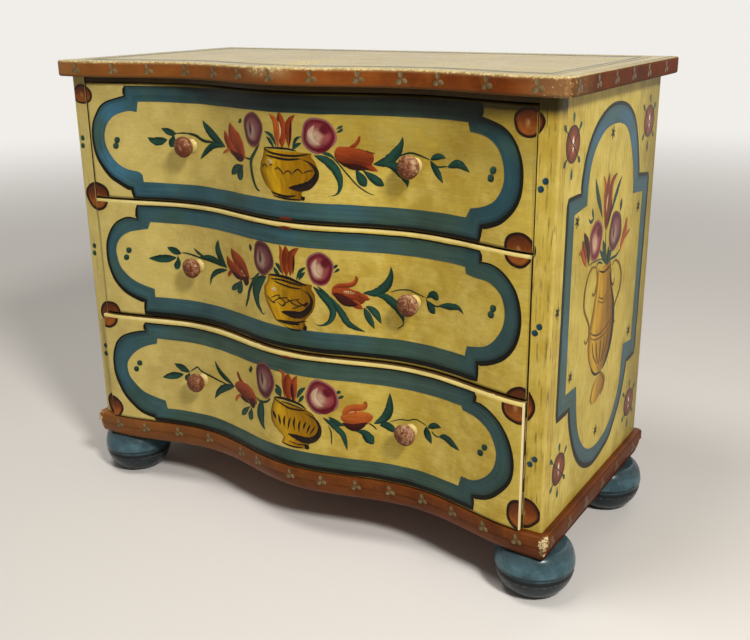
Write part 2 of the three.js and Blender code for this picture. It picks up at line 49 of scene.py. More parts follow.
# Camera, floor and light.
# The camera stands at the right of the chest, a little above its top, and looks down to the left.
# A pale floor, a soft lamp at the upper right, one overhead and a white surround give a plain studio light.
CAMERA_PLACE = (0.7378, -1.1341, 0.7018)
CAMERA_TURN, CAMERA_TILT, CAMERA_ROLL = math.radians(32.22), math.radians(18.29), math.radians(-0.72)
CAMERA_LENS, CAMERA_SENSOR = 47.04, 36
FLOOR_SIZE = 60
FLOOR_FADE = (1.1, 4.5)                 # distances between which the floor passes into the surround
LAMPS = {
    "key": ((1.73, -1.17, 1.96), 0.45, 58),
    "overhead": ((-0.3, -0.7, 2.7), 0.9, 30),
    "back": ((0.5, 2.6, 2.2), 1.6, 10),
}
LAMP_AIM = Vector((0, 0, 0.3))
SURROUND_LIGHT = 0.2
PAINT_SHINE = 0.11                      # specular level of old varnish, which mirrors a dim room
FLOOR_COLOR, SURROUND_COLOR = "#d9d3cb", "#f1eee9"


def linear(code):
    """Scene-linear color of an sRGB hex code."""
    channels = [int(code[i:i + 2], 16) / 255 for i in (1, 3, 5)]
    return tuple(c / 12.92 if c <= 0.04045 else ((c + 0.055) / 1.055) ** 2.4 for c in channels) + (1,)


def node(tree, kind, links=None, **settings):
    """Adds a node. Each link gives an input either a value or the output that feeds it."""
    made = tree.nodes.new(kind)
    for name, value in settings.items():
        setattr(made, name, value)
    for name, value in (links or {}).items():
        if isinstance(value, bpy.types.NodeSocket):
            tree.links.new(value, made.inputs[name])
        else:
            made.inputs[name].default_value = value
    return made


def seen_directly(tree):
    """1 where the camera, a reflection or glass looks, and 0 where a ray only brings light."""
    path = node(tree, "ShaderNodeLightPath")
    seen = node(tree, "ShaderNodeMath", {
        0: path.outputs["Is Camera Ray"], 1: path.outputs["Is Glossy Ray"]}, operation="MAXIMUM")
    seen = node(tree, "ShaderNodeMath", {
        0: seen.outputs[0], 1: path.outputs["Is Transmission Ray"]}, operation="MAXIMUM")
    return seen.outputs[0]


def new_finish(name):
    """A new material, its node tree and its shader."""
    finish = bpy.data.materials.new(name)
    finish.use_nodes = True
    return finish, finish.node_tree, finish.node_tree.nodes["Principled BSDF"]


camera_data = bpy.data.cameras.new("camera")
camera_data.lens = CAMERA_LENS
camera_data.sensor_width = CAMERA_SENSOR
camera = bpy.data.objects.new("camera", camera_data)
camera.matrix_world = (
    Matrix.Translation(CAMERA_PLACE)
    @ Matrix.Rotation(CAMERA_TURN, 4, "Z")
    @ Matrix.Rotation(math.pi / 2 - CAMERA_TILT, 4, "X")
    @ Matrix.Rotation(CAMERA_ROLL, 4, "Z"))
bpy.context.scene.collection.objects.link(camera)
bpy.context.scene.camera = camera
bpy.context.scene.view_settings.view_transform = "Standard"

for lamp_name, (lamp_place, lamp_size, lamp_power) in LAMPS.items():
    bpy.ops.object.light_add(type="AREA", location=lamp_place)
    lamp = bpy.context.object
    lamp.name = f"lamp_{lamp_name}"
    lamp.data.shape = "DISK"
    lamp.data.size = lamp_size
    lamp.data.energy = lamp_power
    lamp.rotation_euler = (LAMP_AIM - Vector(lamp_place)).to_track_quat("-Z", "Y").to_euler()

world = bpy.data.worlds.new("surround")
world.use_nodes = True
bpy.context.scene.world = world
world.node_tree.nodes.clear()
strength = node(world.node_tree, "ShaderNodeMapRange", {
    "Value": seen_directly(world.node_tree), "To Min": SURROUND_LIGHT, "To Max": 1})
sky = node(world.node_tree, "ShaderNodeBackground", {
    "Color": linear(SURROUND_COLOR), "Strength": strength.outputs[0]})
node(world.node_tree, "ShaderNodeOutputWorld", {"Surface": sky.outputs[0]})

bpy.ops.mesh.primitive_plane_add(size=FLOOR_SIZE)
floor = bpy.context.object
floor.name = "floor"
# The floor passes softly into the surround, so that no horizon shows
floor_paint, tree, shader = new_finish("matt_floor_paint")
shader.inputs["Base Color"].default_value = linear(FLOOR_COLOR)
shader.inputs["Roughness"].default_value = 0.9
place = node(tree, "ShaderNodeTexCoord").outputs["Object"]
far = node(tree, "ShaderNodeVectorMath", {0: place}, operation="LENGTH")
share = node(tree, "ShaderNodeMapRange", {
    "Value": far.outputs["Value"], "From Min": FLOOR_FADE[0], "From Max": FLOOR_FADE[1]},
    interpolation_type="SMOOTHSTEP")
share = node(tree, "ShaderNodeMath", {0: share.outputs[0], 1: seen_directly(tree)}, operation="MULTIPLY")
beyond = node(tree, "ShaderNodeEmission", {"Color": linear(SURROUND_COLOR)})
blend = node(tree, "ShaderNodeMixShader", {
    0: share.outputs[0], 1: shader.outputs[0], 2: beyond.outputs[0]})
tree.links.new(blend.outputs[0], tree.nodes["Material Output"].inputs["Surface"])
floor.data.materials.append(floor_paint)

# Base board.
# The plinth is one thick pine board sawn to the serpentine line. Its lower edge is swept in by a moulding
# plane, and it is painted brick red, with small pale sprigs, and chipped to the chalk ground at the corners.
CURVE_DEPTH = 30 * MM                   # from the corners back to a valley
CURVE_HALF = 345 * MM
CORNER_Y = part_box("stile_right")[0].y   # plane of the two front corners
COLUMNS = 132                           # straight stretches along a serpentine edge
BASE_OVERHANG = 10 * MM
BASE_STEP = 1.6 * MM                    # fillet that parts the two halves of the edge
BASE_ARRIS = 4 * MM
BASE_SWEEP_OUT, BASE_SWEEP_RISE = 8.4 * MM, 20 * MM
BASE_CORNER = 3.5 * MM
ROUND_STEPS = 5
NEAR = MM / 10                          # places closer than this count as the same
HAIR = MM / 1000                        # how near two corners of a mesh are when they are one


def curve_y(x):
    """Place of the serpentine line, in depth: corners and middle stand forward of two valleys."""
    if abs(x) >= CURVE_HALF:
        return CORNER_Y
    return CORNER_Y + CURVE_DEPTH / 2 * (1 - math.cos(2 * math.pi * x / CURVE_HALF))


def named(name):
    """Names the primitive that was just added and gives it a place of its own in the mesh."""
    bpy.ops.object.transform_apply(location=True, rotation=True, scale=True)
    piece = bpy.context.object
    piece.name = name
    piece.data.name = name
    return piece


def take(*pieces):
    """Selects these pieces and nothing else, with the first of them active."""
    bpy.ops.object.select_all(action="DESELECT")
    for piece in pieces:
        piece.select_set(True)
    bpy.context.view_layer.objects.active = pieces[0]


def edit(piece):
    """Opens a piece for modelling, with nothing selected."""
    take(piece)
    bpy.ops.object.mode_set(mode="EDIT")
    bpy.ops.mesh.select_all(action="DESELECT")


def done():
    """Closes the piece that is open."""
    bpy.ops.object.mode_set(mode="OBJECT")
    bpy.ops.object.select_all(action="DESELECT")


def pick(kind, test):
    """Selects the corners, edges or faces that pass the test, and nothing else."""
    bpy.ops.mesh.select_mode(type=kind)
    bpy.ops.mesh.select_all(action="DESELECT")
    mesh = bpy.context.object.data
    work = bmesh.from_edit_mesh(mesh)
    work.normal_update()
    for part in {"VERT": work.verts, "EDGE": work.edges, "FACE": work.faces}[kind]:
        part.select_set(bool(test(part)))
    work.select_flush_mode()
    bmesh.update_edit_mesh(mesh)


def runs_along(edge, axis):
    """Whether an edge runs along an axis, within a slant of one in three."""
    way = (edge.verts[1].co - edge.verts[0].co).normalized()
    return abs(way[axis]) > 0.94


def middle(edge):
    """Place of an edge's middle."""
    return (edge.verts[0].co + edge.verts[1].co) / 2


def columned_board(name, fronts, backs, low, high):
    """A board whose front and back edges follow two lists of plan points: a cube cut into columns."""
    count = len(fronts) - 1
    bpy.ops.mesh.primitive_cube_add(size=1, location=(0.5, 0.5, 0.5))
    piece = named(name)
    edit(piece)
    pick("EDGE", lambda edge: runs_along(edge, 0))
    bpy.ops.mesh.subdivide(number_cuts=count - 1)
    done()
    for vert in piece.data.vertices:
        column = round(vert.co.x * count)
        x, y = fronts[column] if vert.co.y < 0.5 else backs[column]
        vert.co = (x, y, low if vert.co.z < 0.5 else high)
    return piece


def mould(up, steps):
    """Raises the whole upper or lower face of the open board, one step in and out after another."""
    pick("FACE", lambda face: face.normal.z * up > 0.9)
    for inward, rise in steps:
        bpy.ops.mesh.inset(thickness=inward, depth=rise, use_even_offset=True)


def quarter(inward, rise, hollow=False):
    """The steps of a rounded edge, which starts upright, or flat where it is hollow."""
    turns = [i / ROUND_STEPS * math.pi / 2 for i in range(ROUND_STEPS + 1)]
    places = [(inward * (1 - math.cos(t)), rise * math.sin(t)) for t in turns]
    if hollow:
        places = [(inward * math.sin(t), rise * (1 - math.cos(t))) for t in turns]
    return [(b[0] - a[0], b[1] - a[1]) for a, b in zip(places, places[1:])]


def slice_at(axis, *places):
    """Cuts rows through the open piece, square to an axis, for wear and shading to follow."""
    for place in places:
        bpy.ops.mesh.select_all(action="SELECT")
        bpy.ops.mesh.bisect(
            plane_co=[place if i == axis else 0 for i in range(3)],
            plane_no=[1 if i == axis else 0 for i in range(3)])


def smooth(piece, angle=40):
    """Shades a piece smooth, but for edges sharper than the angle in degrees."""
    take(piece)
    bpy.ops.object.shade_smooth_by_angle(angle=math.radians(angle))


def mark(piece, name, amount):
    """Gives each corner of the mesh an amount, from 0 to 1, that the piece's finish reads."""
    attribute = piece.data.attributes.new(name, "FLOAT", "POINT")
    for vert in piece.data.vertices:
        attribute.data[vert.index].value = max(0, min(1, amount(vert.co)))


def fade(value, start, end):
    """A soft step from 0 at start to 1 at end."""
    share = max(0, min(1, (value - start) / (end - start)))
    return share * share * (3 - 2 * share)


base_low, base_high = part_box("base_board")
base_reach = base_high.x
across = [base_reach * (2 * i / COLUMNS - 1) for i in range(COLUMNS + 1)]
base_board = columned_board(
    "plinth_board",
    [(x, curve_y(x) - BASE_OVERHANG) for x in across],
    [(x, base_high.y) for x in across],
    base_low.z + BASE_SWEEP_RISE, base_high.z - BASE_ARRIS)
edit(base_board)
mould(1, quarter(BASE_ARRIS, BASE_ARRIS))
mould(-1, [(BASE_STEP, 0)] + quarter(BASE_SWEEP_OUT, BASE_SWEEP_RISE))


def on_corner(vert):
    """Whether a vertex lies on the mitre of one of the plinth's four corners."""
    across, deep = base_reach - abs(vert.co.x), min(vert.co.y - base_low.y, base_high.y - vert.co.y)
    return abs(across) < BASE_SWEEP_OUT + 2 * BASE_STEP and abs(abs(across) - abs(deep)) < NEAR


pick("EDGE", lambda edge: not math.isclose(edge.verts[0].co.z, edge.verts[1].co.z, abs_tol=MM / 100)
     and all(map(on_corner, edge.verts)))
bpy.ops.mesh.bevel(offset=BASE_CORNER, segments=3, affect="EDGES")
slice_at(1, base_low.y + 5 * MM, base_low.y + 13 * MM)
done()
smooth(base_board)
mark(base_board, "wear_and_highlight", lambda co: max(
    fade(abs(co.z - base_high.z + BASE_ARRIS), 4 * MM, 1 * MM) * 0.1,
    fade(abs(co.z - base_low.z - BASE_SWEEP_RISE), 3 * MM, 0) * 0.1,
    fade(math.hypot(base_reach - abs(co.x), co.y - base_low.y), 12 * MM, 4 * MM) * 0.6))


def aged_paint(name, tones, worn, brush=(60, 700, 700), roughness=(0.3, 0.5), grain=None, clouds=1,
               thinned=0, shine=PAINT_SHINE, paler_leftward=None, darker_behind=None):
    """Old hand-brushed oil paint under varnish.

    tones are its deep, middle and light colors, and worn is what shows where it is rubbed through, and the
    pale of a painted highlight. brush gives the repeats of the brush marks in a metre along each axis, and
    grain those of open wood pores and how dark they are. clouds is how strongly the tones part, thinned how
    soon the marked wear and painted highlights pale the coat before it chips, and shine its specular level.
    paler_leftward gives the places from left to right between which it turns paler toward the left, and to
    what, and darker_behind those from front to back between which it darkens. A Scale of 11 is a cloud 90 mm
    across, and one of 34 a patch of 30 mm.
    """
    paint, tree, shader = new_finish(name)
    place = node(tree, "ShaderNodeTexCoord").outputs["Object"]
    cloud = node(tree, "ShaderNodeTexNoise", {"Vector": place, "Scale": 11, "Detail": 5, "Roughness": 0.6})
    patch = node(tree, "ShaderNodeTexNoise", {"Vector": place, "Scale": 34, "Detail": 4, "Roughness": 0.65})
    along = node(tree, "ShaderNodeVectorMath", {0: place, 1: brush}, operation="MULTIPLY")
    hairs = node(tree, "ShaderNodeTexNoise", {"Vector": along.outputs[0], "Scale": 1, "Detail": 3})
    shade = node(tree, "ShaderNodeMapRange", {
        "Value": cloud.outputs["Fac"], "From Min": 0.34, "From Max": 0.6,
        "To Min": 0.55 - 0.55 * clouds, "To Max": 0.55 + 0.45 * clouds})
    light = node(tree, "ShaderNodeMapRange", {
        "Value": patch.outputs["Fac"], "From Min": 0.44, "From Max": 0.72, "To Max": 0.7 * clouds})
    tone = node(tree, "ShaderNodeMix", {
        0: shade.outputs[0], 6: linear(tones[0]), 7: linear(tones[1])}, data_type="RGBA")
    tone = node(tree, "ShaderNodeMix", {
        0: light.outputs[0], 6: tone.outputs[2], 7: linear(tones[2])}, data_type="RGBA")
    streak = node(tree, "ShaderNodeMapRange", {
        "Value": hairs.outputs["Fac"], "From Min": 0.3, "From Max": 0.7, "To Min": 0.9, "To Max": 1.07})
    tone = node(tree, "ShaderNodeVectorMath", {
        0: tone.outputs[2], 1: streak.outputs[0]}, operation="MULTIPLY")
    color = tone.outputs[0]
    if grain:
        fibres = node(tree, "ShaderNodeVectorMath", {0: place, 1: grain[:3]}, operation="MULTIPLY")
        pores = node(tree, "ShaderNodeTexNoise", {"Vector": fibres.outputs[0], "Scale": 1, "Detail": 5})
        dark = node(tree, "ShaderNodeMapRange", {
            "Value": pores.outputs["Fac"], "From Min": 0.56, "From Max": 0.72, "To Max": grain[3]})
        color = node(tree, "ShaderNodeMix", {
            0: dark.outputs[0], 6: color, 7: linear("#3d2c15")}, data_type="RGBA").outputs[2]
    if paler_leftward:
        across = node(tree, "ShaderNodeSeparateXYZ", {0: place})
        paler = node(tree, "ShaderNodeMapRange", {
            "Value": across.outputs["X"], "From Min": paler_leftward[1], "From Max": paler_leftward[0], "To Max": 0.5})
        color = node(tree, "ShaderNodeMix", {
            0: paler.outputs[0], 6: color, 7: linear(paler_leftward[2])}, data_type="RGBA").outputs[2]
    if darker_behind:
        deep = node(tree, "ShaderNodeSeparateXYZ", {0: place})
        darker = node(tree, "ShaderNodeMapRange", {
            "Value": deep.outputs["Y"], "From Min": darker_behind[0], "From Max": darker_behind[1], "To Max": 0.65})
        color = node(tree, "ShaderNodeMix", {
            0: darker.outputs[0], 6: color, 7: linear("#3f3418")}, data_type="RGBA").outputs[2]
    # Painted shade, with some grime, darkens the paint where the piece is marked, most close under an
    # overhang
    shade_and_grime = node(tree, "ShaderNodeAttribute", attribute_name="grime_and_shade")
    shade_and_grime_amount = node(tree, "ShaderNodeMath", {
        0: patch.outputs["Fac"], 1: 0.4, 2: shade_and_grime.outputs["Fac"]}, operation="MULTIPLY_ADD")
    dark = node(tree, "ShaderNodeMapRange", {
        "Value": shade_and_grime_amount.outputs[0], "From Min": 0.35, "From Max": 0.95, "To Max": 0.92})
    color = node(tree, "ShaderNodeMix", {
        0: dark.outputs[0], 6: color, 7: linear("#1f180a")}, data_type="RGBA").outputs[2]
    # Flyspecks and dirt in the varnish lie 2 mm apart, so that they just show
    specks = node(tree, "ShaderNodeTexNoise", {"Vector": place, "Scale": 520, "Detail": 2})
    dirt = node(tree, "ShaderNodeMapRange", {
        "Value": specks.outputs["Fac"], "From Min": 0.68, "From Max": 0.76, "To Max": 0.45})
    color = node(tree, "ShaderNodeMix", {
        0: dirt.outputs[0], 6: color, 7: linear("#2e2412")}, data_type="RGBA").outputs[2]
    # Chips are ragged at 4 mm, and the chalk ground or wood shows through them
    rubbed = node(tree, "ShaderNodeAttribute", attribute_name="wear_and_highlight")
    ragged = node(tree, "ShaderNodeTexNoise", {"Vector": place, "Scale": 260, "Detail": 5, "Roughness": 0.72})
    edge = node(tree, "ShaderNodeMath", {
        0: rubbed.outputs["Fac"], 1: 0.5, 2: ragged.outputs["Fac"]}, operation="MULTIPLY_ADD")
    chips = node(tree, "ShaderNodeMapRange", {
        "Value": edge.outputs[0], "From Min": 0.73, "From Max": 0.79})
    if thinned:
        thin = node(tree, "ShaderNodeMath", {
            0: rubbed.outputs["Fac"], 1: thinned}, operation="MULTIPLY", use_clamp=True)
        color = node(tree, "ShaderNodeMix", {
            0: thin.outputs[0], 6: color, 7: linear(worn)}, data_type="RGBA").outputs[2]
    color = node(tree, "ShaderNodeMix", {
        0: chips.outputs[0], 6: color, 7: linear(worn)}, data_type="RGBA").outputs[2]
    tree.links.new(color, shader.inputs["Base Color"])
    gloss = node(tree, "ShaderNodeMapRange", {
        "Value": patch.outputs["Fac"], "From Min": 0.3, "From Max": 0.7,
        "To Min": roughness[0], "To Max": roughness[1]})
    dull = node(tree, "ShaderNodeMath", {0: chips.outputs[0], 1: 0.3}, operation="MULTIPLY")
    rough = node(tree, "ShaderNodeMath", {0: gloss.outputs[0], 1: dull.outputs[0]}, operation="ADD")
    tree.links.new(rough.outputs[0], shader.inputs["Roughness"])
    relief = node(tree, "ShaderNodeMath", {0: chips.outputs[0], 1: -0.8, 2: hairs.outputs["Fac"]},
                  operation="MULTIPLY_ADD")
    bump = node(tree, "ShaderNodeBump", {
        "Height": relief.outputs[0], "Strength": 0.35, "Distance": 0.4 * MM})
    tree.links.new(bump.outputs[0], shader.inputs["Normal"])
    shader.inputs["Specular IOR Level"].default_value = shine
    return paint


# Painted shade: the plinth's red is darker than that of the top's edge
plinth_paint = aged_paint(
    "brick_red_oil_paint_with_painted_shade", ["#4c2206", "#64300a", "#784216"], "#cdb98a", brush=(30, 30, 500),
    paler_leftward=(-0.4, 0.1, "#94602f"))
plinth_side_paint = aged_paint(
    "brick_red_oil_paint_on_plinth_sides", ["#4a2109", "#602e0e", "#724016"], "#c4ad80",
    brush=(30, 30, 500), shine=0.03)
for paint in (plinth_paint, plinth_side_paint):
    base_board.data.materials.append(paint)
for face in base_board.data.polygons:
    face.material_index = 1 if abs(face.normal.x) > 0.7 else 0
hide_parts("base_board")
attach(base_board, "carcase")

# Bun feet.
# Each foot is turned from one block of pine, with a groove cut under its belly and a tenon glued into the
# plinth. It is painted slate blue, and the groove is black, with pale dashes where the paint has gone.
FOOT_FLAT, FOOT_BELLY, FOOT_TOP = 20 * MM, 50 * MM, 36 * MM
FOOT_BELLY_HEIGHT = 40 * MM
GROOVE_HEIGHT, GROOVE_WIDTH, GROOVE_DEPTH = 34 * MM, 6 * MM, 2.2 * MM
TENON_RADIUS = 14 * MM
FOOT_SEAT = 0.3 * MM
TURN_STEPS = 72


def turned(name, profile, turns=TURN_STEPS):
    """A turning on an upright axis: a ring of points is set to the half section and spun round."""
    bpy.ops.mesh.primitive_circle_add(vertices=len(profile), radius=1)
    piece = named(name)
    for vert, (radius, height) in zip(piece.data.vertices, profile):
        vert.co = (radius, 0, height)
    edit(piece)
    bpy.ops.mesh.select_all(action="SELECT")
    bpy.ops.mesh.spin(steps=turns, angle=2 * math.pi, center=(0, 0, 0), axis=(0, 0, 1))
    bpy.ops.mesh.select_all(action="SELECT")
    bpy.ops.mesh.remove_doubles(threshold=MM / 100)
    bpy.ops.mesh.dissolve_degenerate(threshold=MM / 100)
    bpy.ops.mesh.select_all(action="SELECT")
    bpy.ops.mesh.normals_make_consistent(inside=False)
    done()
    smooth(piece)
    return piece


def bow(start, end, outward, steps=12):
    """A quarter ellipse between two (radius, height) places. It leaves the first one outward or upright."""
    turns = [i / steps * math.pi / 2 for i in range(steps + 1)]
    if outward:
        return [(start[0] + (end[0] - start[0]) * math.sin(t),
                 start[1] + (end[1] - start[1]) * (1 - math.cos(t))) for t in turns]
    return [(start[0] + (end[0] - start[0]) * (1 - math.cos(t)),
             start[1] + (end[1] - start[1]) * math.sin(t)) for t in turns]


def copied(model, name):
    """A copy of a model, with a mesh of its own."""
    piece = model.copy()
    piece.data = model.data.copy()
    piece.name = name
    bpy.context.scene.collection.objects.link(piece)
    return piece


foot_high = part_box("foot_front_right")[1]
foot_shoulder = base_low.z - FOOT_SEAT
foot_profile = [(0, 0)]
for radius, height in bow((FOOT_FLAT, 0), (FOOT_BELLY, FOOT_BELLY_HEIGHT), True, 24):
    off_groove = abs(height - GROOVE_HEIGHT) / (GROOVE_WIDTH / 2)
    foot_profile.append((radius - GROOVE_DEPTH * max(0, 1 - off_groove ** 2), height))
foot_profile += bow((FOOT_BELLY, FOOT_BELLY_HEIGHT), (FOOT_TOP, foot_shoulder), False)[1:]
foot_profile += [(TENON_RADIUS, foot_shoulder), (TENON_RADIUS, foot_high.z), (0, foot_high.z)]
foot_model = turned("foot_model", foot_profile)
mark(foot_model, "groove", lambda co: max(
    1 - fade(abs(co.z - GROOVE_HEIGHT - 2.6 * MM), 1 * MM, 2 * MM),
    1 - fade(abs(co.z - GROOVE_HEIGHT + 4 * MM), 2.4 * MM, 3.6 * MM),
    0.84 * fade(co.z, GROOVE_HEIGHT - 3 * MM, GROOVE_HEIGHT - 6 * MM)))
# Painted shade, with some grime, darkens the top of each foot under the plinth
mark(foot_model, "grime_and_shade", lambda co: 0.4 * fade(co.z, 46 * MM, 60 * MM))
mark(foot_model, "wear_and_highlight", lambda co: 0.5 * fade(
    abs(co.z - GROOVE_HEIGHT + 6.4 * MM), 1.8 * MM, 0.6 * MM))

foot_paint = aged_paint(
    "slate_blue_oil_paint_on_feet", ["#2a3f44", "#3d5b64", "#56767f"], "#c9cfc4",
    brush=(90, 90, 500), roughness=(0.2, 0.34), clouds=1, shine=0.22)
tree = foot_paint.node_tree
shader = tree.nodes["Principled BSDF"]
blue = shader.inputs["Base Color"].links[0].from_socket
groove = node(tree, "ShaderNodeAttribute", attribute_name="groove")
black = node(tree, "ShaderNodeMix", {
    0: groove.outputs["Fac"], 6: blue, 7: linear("#16181a")}, data_type="RGBA")
tree.links.new(black.outputs[2], shader.inputs["Base Color"])

for foot_name in ("foot_front_right", "foot_front_left", "foot_back_right", "foot_back_left"):
    low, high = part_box(foot_name)
    foot = copied(foot_model, f"bun_{foot_name}")
    foot.data.transform(
        Matrix.Translation(((low.x + high.x) / 2, (low.y + high.y) / 2, 0))
        @ Matrix.Rotation((low.x + 2 * low.y) * 9, 4, "Z"))
    foot.data.materials.append(foot_paint)
    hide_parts(foot_name)
    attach(foot, "carcase")
bpy.data.objects.remove(foot_model)

# Side boards and stiles.
# A side is one wide pine board with upright grain. A narrow stile is tongued on in front of it and shows
# its joint as a fine dark line behind the corner. Both are painted ochre yellow and varnished.
STILE_ARRIS, STILE_GROOVE = 3 * MM, 0.7 * MM
yellow_tones = ["#a2842c", "#c0a646", "#d8c26c"]
stile_paint = aged_paint(
    "ochre_yellow_oil_paint_upright", yellow_tones, "#dccf9c",
    brush=(300, 300, 26), grain=(300, 300, 34, 0.75), clouds=0.7, thinned=0.6,
    paler_leftward=(-0.4, 0.1, "#c9bb80"))
# Painted light: the sides' ochre is lighter and paler than that of the front
side_paint = aged_paint(
    "ochre_yellow_oil_paint_on_sides", ["#a88e34", "#c6ae4e", "#dccb7c"], "#e6d9ab",
    brush=(300, 300, 26), grain=(360, 360, 26, 0.45), clouds=0.8, darker_behind=(0.06, 0.2))
joint_stain_and_shade = aged_paint("brown_stain_in_the_joints", ["#211409", "#2b1b0c", "#382410"], "#4a3418")


def coat(node_name, paint):
    """Gives a CAD node the finish of the real piece."""
    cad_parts[node_name].data.materials.clear()
    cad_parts[node_name].data.materials.append(paint)


coat("side_board_right", side_paint)
coat("side_board_left", side_paint)

for side_name, side in (("stile_right", 1), ("stile_left", -1)):
    low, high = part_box(side_name)
    outer_face = max(-low.x, high.x)
    bpy.ops.mesh.primitive_cube_add(size=1, location=(low + high) / 2, scale=high - low)
    stile = named(f"corner_{side_name}")
    edit(stile)
    pick("EDGE", lambda edge: runs_along(edge, 2)
         and middle(edge).x * side > abs(low.x + high.x) / 2 and middle(edge).y < (low.y + high.y) / 2)
    bpy.ops.mesh.bevel(offset=STILE_ARRIS, segments=6, affect="EDGES")
    slice_at(0, side * (outer_face - 5 * MM))
    slice_at(1, low.y + 5 * MM)
    slice_at(2, high.z - 12 * MM, high.z - 28 * MM)
    # A fine groove parts the stile from the side board
    pick("EDGE", lambda edge: runs_along(edge, 2)
         and middle(edge).x * side > outer_face - NEAR and middle(edge).y > high.y - NEAR)
    bpy.ops.mesh.bevel(offset=STILE_GROOVE, segments=1, affect="EDGES")
    done()
    smooth(stile)
    # Painted shade darkens the top of each stile under the overhang, the right one more
    mark(stile, "grime_and_shade", lambda co: (0.8 if side > 0 else 0.4) * fade(
        co.z, high.z - 28 * MM, high.z - 10 * MM))
    mark(stile, "wear_and_highlight", lambda co: 0.14 * fade(
        math.hypot(outer_face - abs(co.x), co.y - CORNER_Y), 5 * MM, 1.5 * MM))
    for paint in (stile_paint, joint_stain_and_shade):
        stile.data.materials.append(paint)
    # Its inner face, in the joint beside the drawers, is painted with brown stain and painted shade
    for face in stile.data.polygons:
        face.material_index = 1 if face.normal.x * side < -0.9 else 0
    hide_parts(side_name)
    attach(stile, "carcase")

# Rails, runners, kickers and back.
# What carries the drawers is bare pine, planed and browned by age. The rail over the top drawer is painted
# nearly black-brown in front, as painted shade under the top, and the back is three shiplapped planks with
# chamfered joints, nailed at both ends.


def aged_pine(name, along):
    """Planed pine, bare and browned: growth rings as long flames along the board, and end-grain specks."""
    pine, tree, shader = new_finish(name)
    place = node(tree, "ShaderNodeTexCoord").outputs["Object"]
    # Growth rings lie 5 to 15 mm apart across the board and close into long flames along it
    stretch = [1.1 if i == along else 13 for i in range(3)]
    flow = node(tree, "ShaderNodeVectorMath", {0: place, 1: stretch}, operation="MULTIPLY")
    plan = node(tree, "ShaderNodeTexNoise", {"Vector": flow.outputs[0], "Scale": 1, "Detail": 2})
    turns = node(tree, "ShaderNodeMath", {0: plan.outputs["Fac"], 1: 26}, operation="MULTIPLY")
    rings = node(tree, "ShaderNodeMath", {0: turns.outputs[0], 1: 1}, operation="PINGPONG")
    fine = [14 if i == along else 1500 for i in range(3)]
    fibre_flow = node(tree, "ShaderNodeVectorMath", {0: place, 1: fine}, operation="MULTIPLY")
    fibres = node(tree, "ShaderNodeTexNoise", {"Vector": fibre_flow.outputs[0], "Scale": 1, "Detail": 3})
    stain = node(tree, "ShaderNodeTexNoise", {"Vector": place, "Scale": 9, "Detail": 4})
    late = node(tree, "ShaderNodeMapRange", {
        "Value": rings.outputs[0], "From Min": 0.35, "From Max": 1, "To Max": 0.8})
    wood = node(tree, "ShaderNodeMix", {
        0: late.outputs[0], 6: linear("#bf9a66"), 7: linear("#9a7040")}, data_type="RGBA")
    fine_shade = node(tree, "ShaderNodeMapRange", {
        "Value": fibres.outputs["Fac"], "From Min": 0.3, "From Max": 0.7, "To Min": 0.84, "To Max": 1.1})
    wood = node(tree, "ShaderNodeVectorMath", {
        0: wood.outputs[2], 1: fine_shade.outputs[0]}, operation="MULTIPLY")
    grime_and_shade = node(tree, "ShaderNodeMapRange", {
        "Value": stain.outputs["Fac"], "From Min": 0.5, "From Max": 0.8, "To Max": 0.45})
    wood = node(tree, "ShaderNodeMix", {
        0: grime_and_shade.outputs[0], 6: wood.outputs[0], 7: linear("#6d4c28")}, data_type="RGBA")
    tree.links.new(wood.outputs[2], shader.inputs["Base Color"])
    rough = node(tree, "ShaderNodeMapRange", {
        "Value": fibres.outputs["Fac"], "To Min": 0.62, "To Max": 0.85})
    tree.links.new(rough.outputs[0], shader.inputs["Roughness"])
    bump = node(tree, "ShaderNodeBump", {
        "Height": fibres.outputs["Fac"], "Strength": 0.3, "Distance": 0.3 * MM})
    tree.links.new(bump.outputs[0], shader.inputs["Normal"])
    return pine


pine_across = aged_pine("planed_pine_left_to_right", 0)
pine_deep = aged_pine("planed_pine_front_to_back", 1)
for part_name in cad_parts:
    if part_name.startswith(("runner", "kicker")) or "_side_" in part_name:
        coat(part_name, pine_deep)
    elif part_name.startswith("divider_rail") or part_name.endswith(("_back", "_bottom")):
        coat(part_name, pine_across)


def cad_copy(node_name, name):
    """A closed copy of a CAD node, to work on."""
    piece = copied(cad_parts[node_name], name)
    piece.parent = None
    piece.hide_render = False
    piece.hide_viewport = False
    edit(piece)
    bpy.ops.mesh.select_all(action="SELECT")
    bpy.ops.mesh.remove_doubles(threshold=HAIR)
    done()
    return piece


PLANK_CHAMFER = 1.5 * MM
NAIL_RADIUS, NAIL_RISE, NAIL_INSET = 3 * MM, 1 * MM, 9 * MM
nail_iron, tree, shader = new_finish("dark_forged_nail_iron")
place = node(tree, "ShaderNodeTexCoord").outputs["Object"]
# Rust lies in patches 2 mm across on the hammered heads
rust = node(tree, "ShaderNodeTexNoise", {"Vector": place, "Scale": 500, "Detail": 3})
color = node(tree, "ShaderNodeMix", {
    0: rust.outputs["Fac"], 6: linear("#2b2622"), 7: linear("#5d3a26")}, data_type="RGBA")
tree.links.new(color.outputs[2], shader.inputs["Base Color"])
shader.inputs["Metallic"].default_value = 0.6
shader.inputs["Roughness"].default_value = 0.6

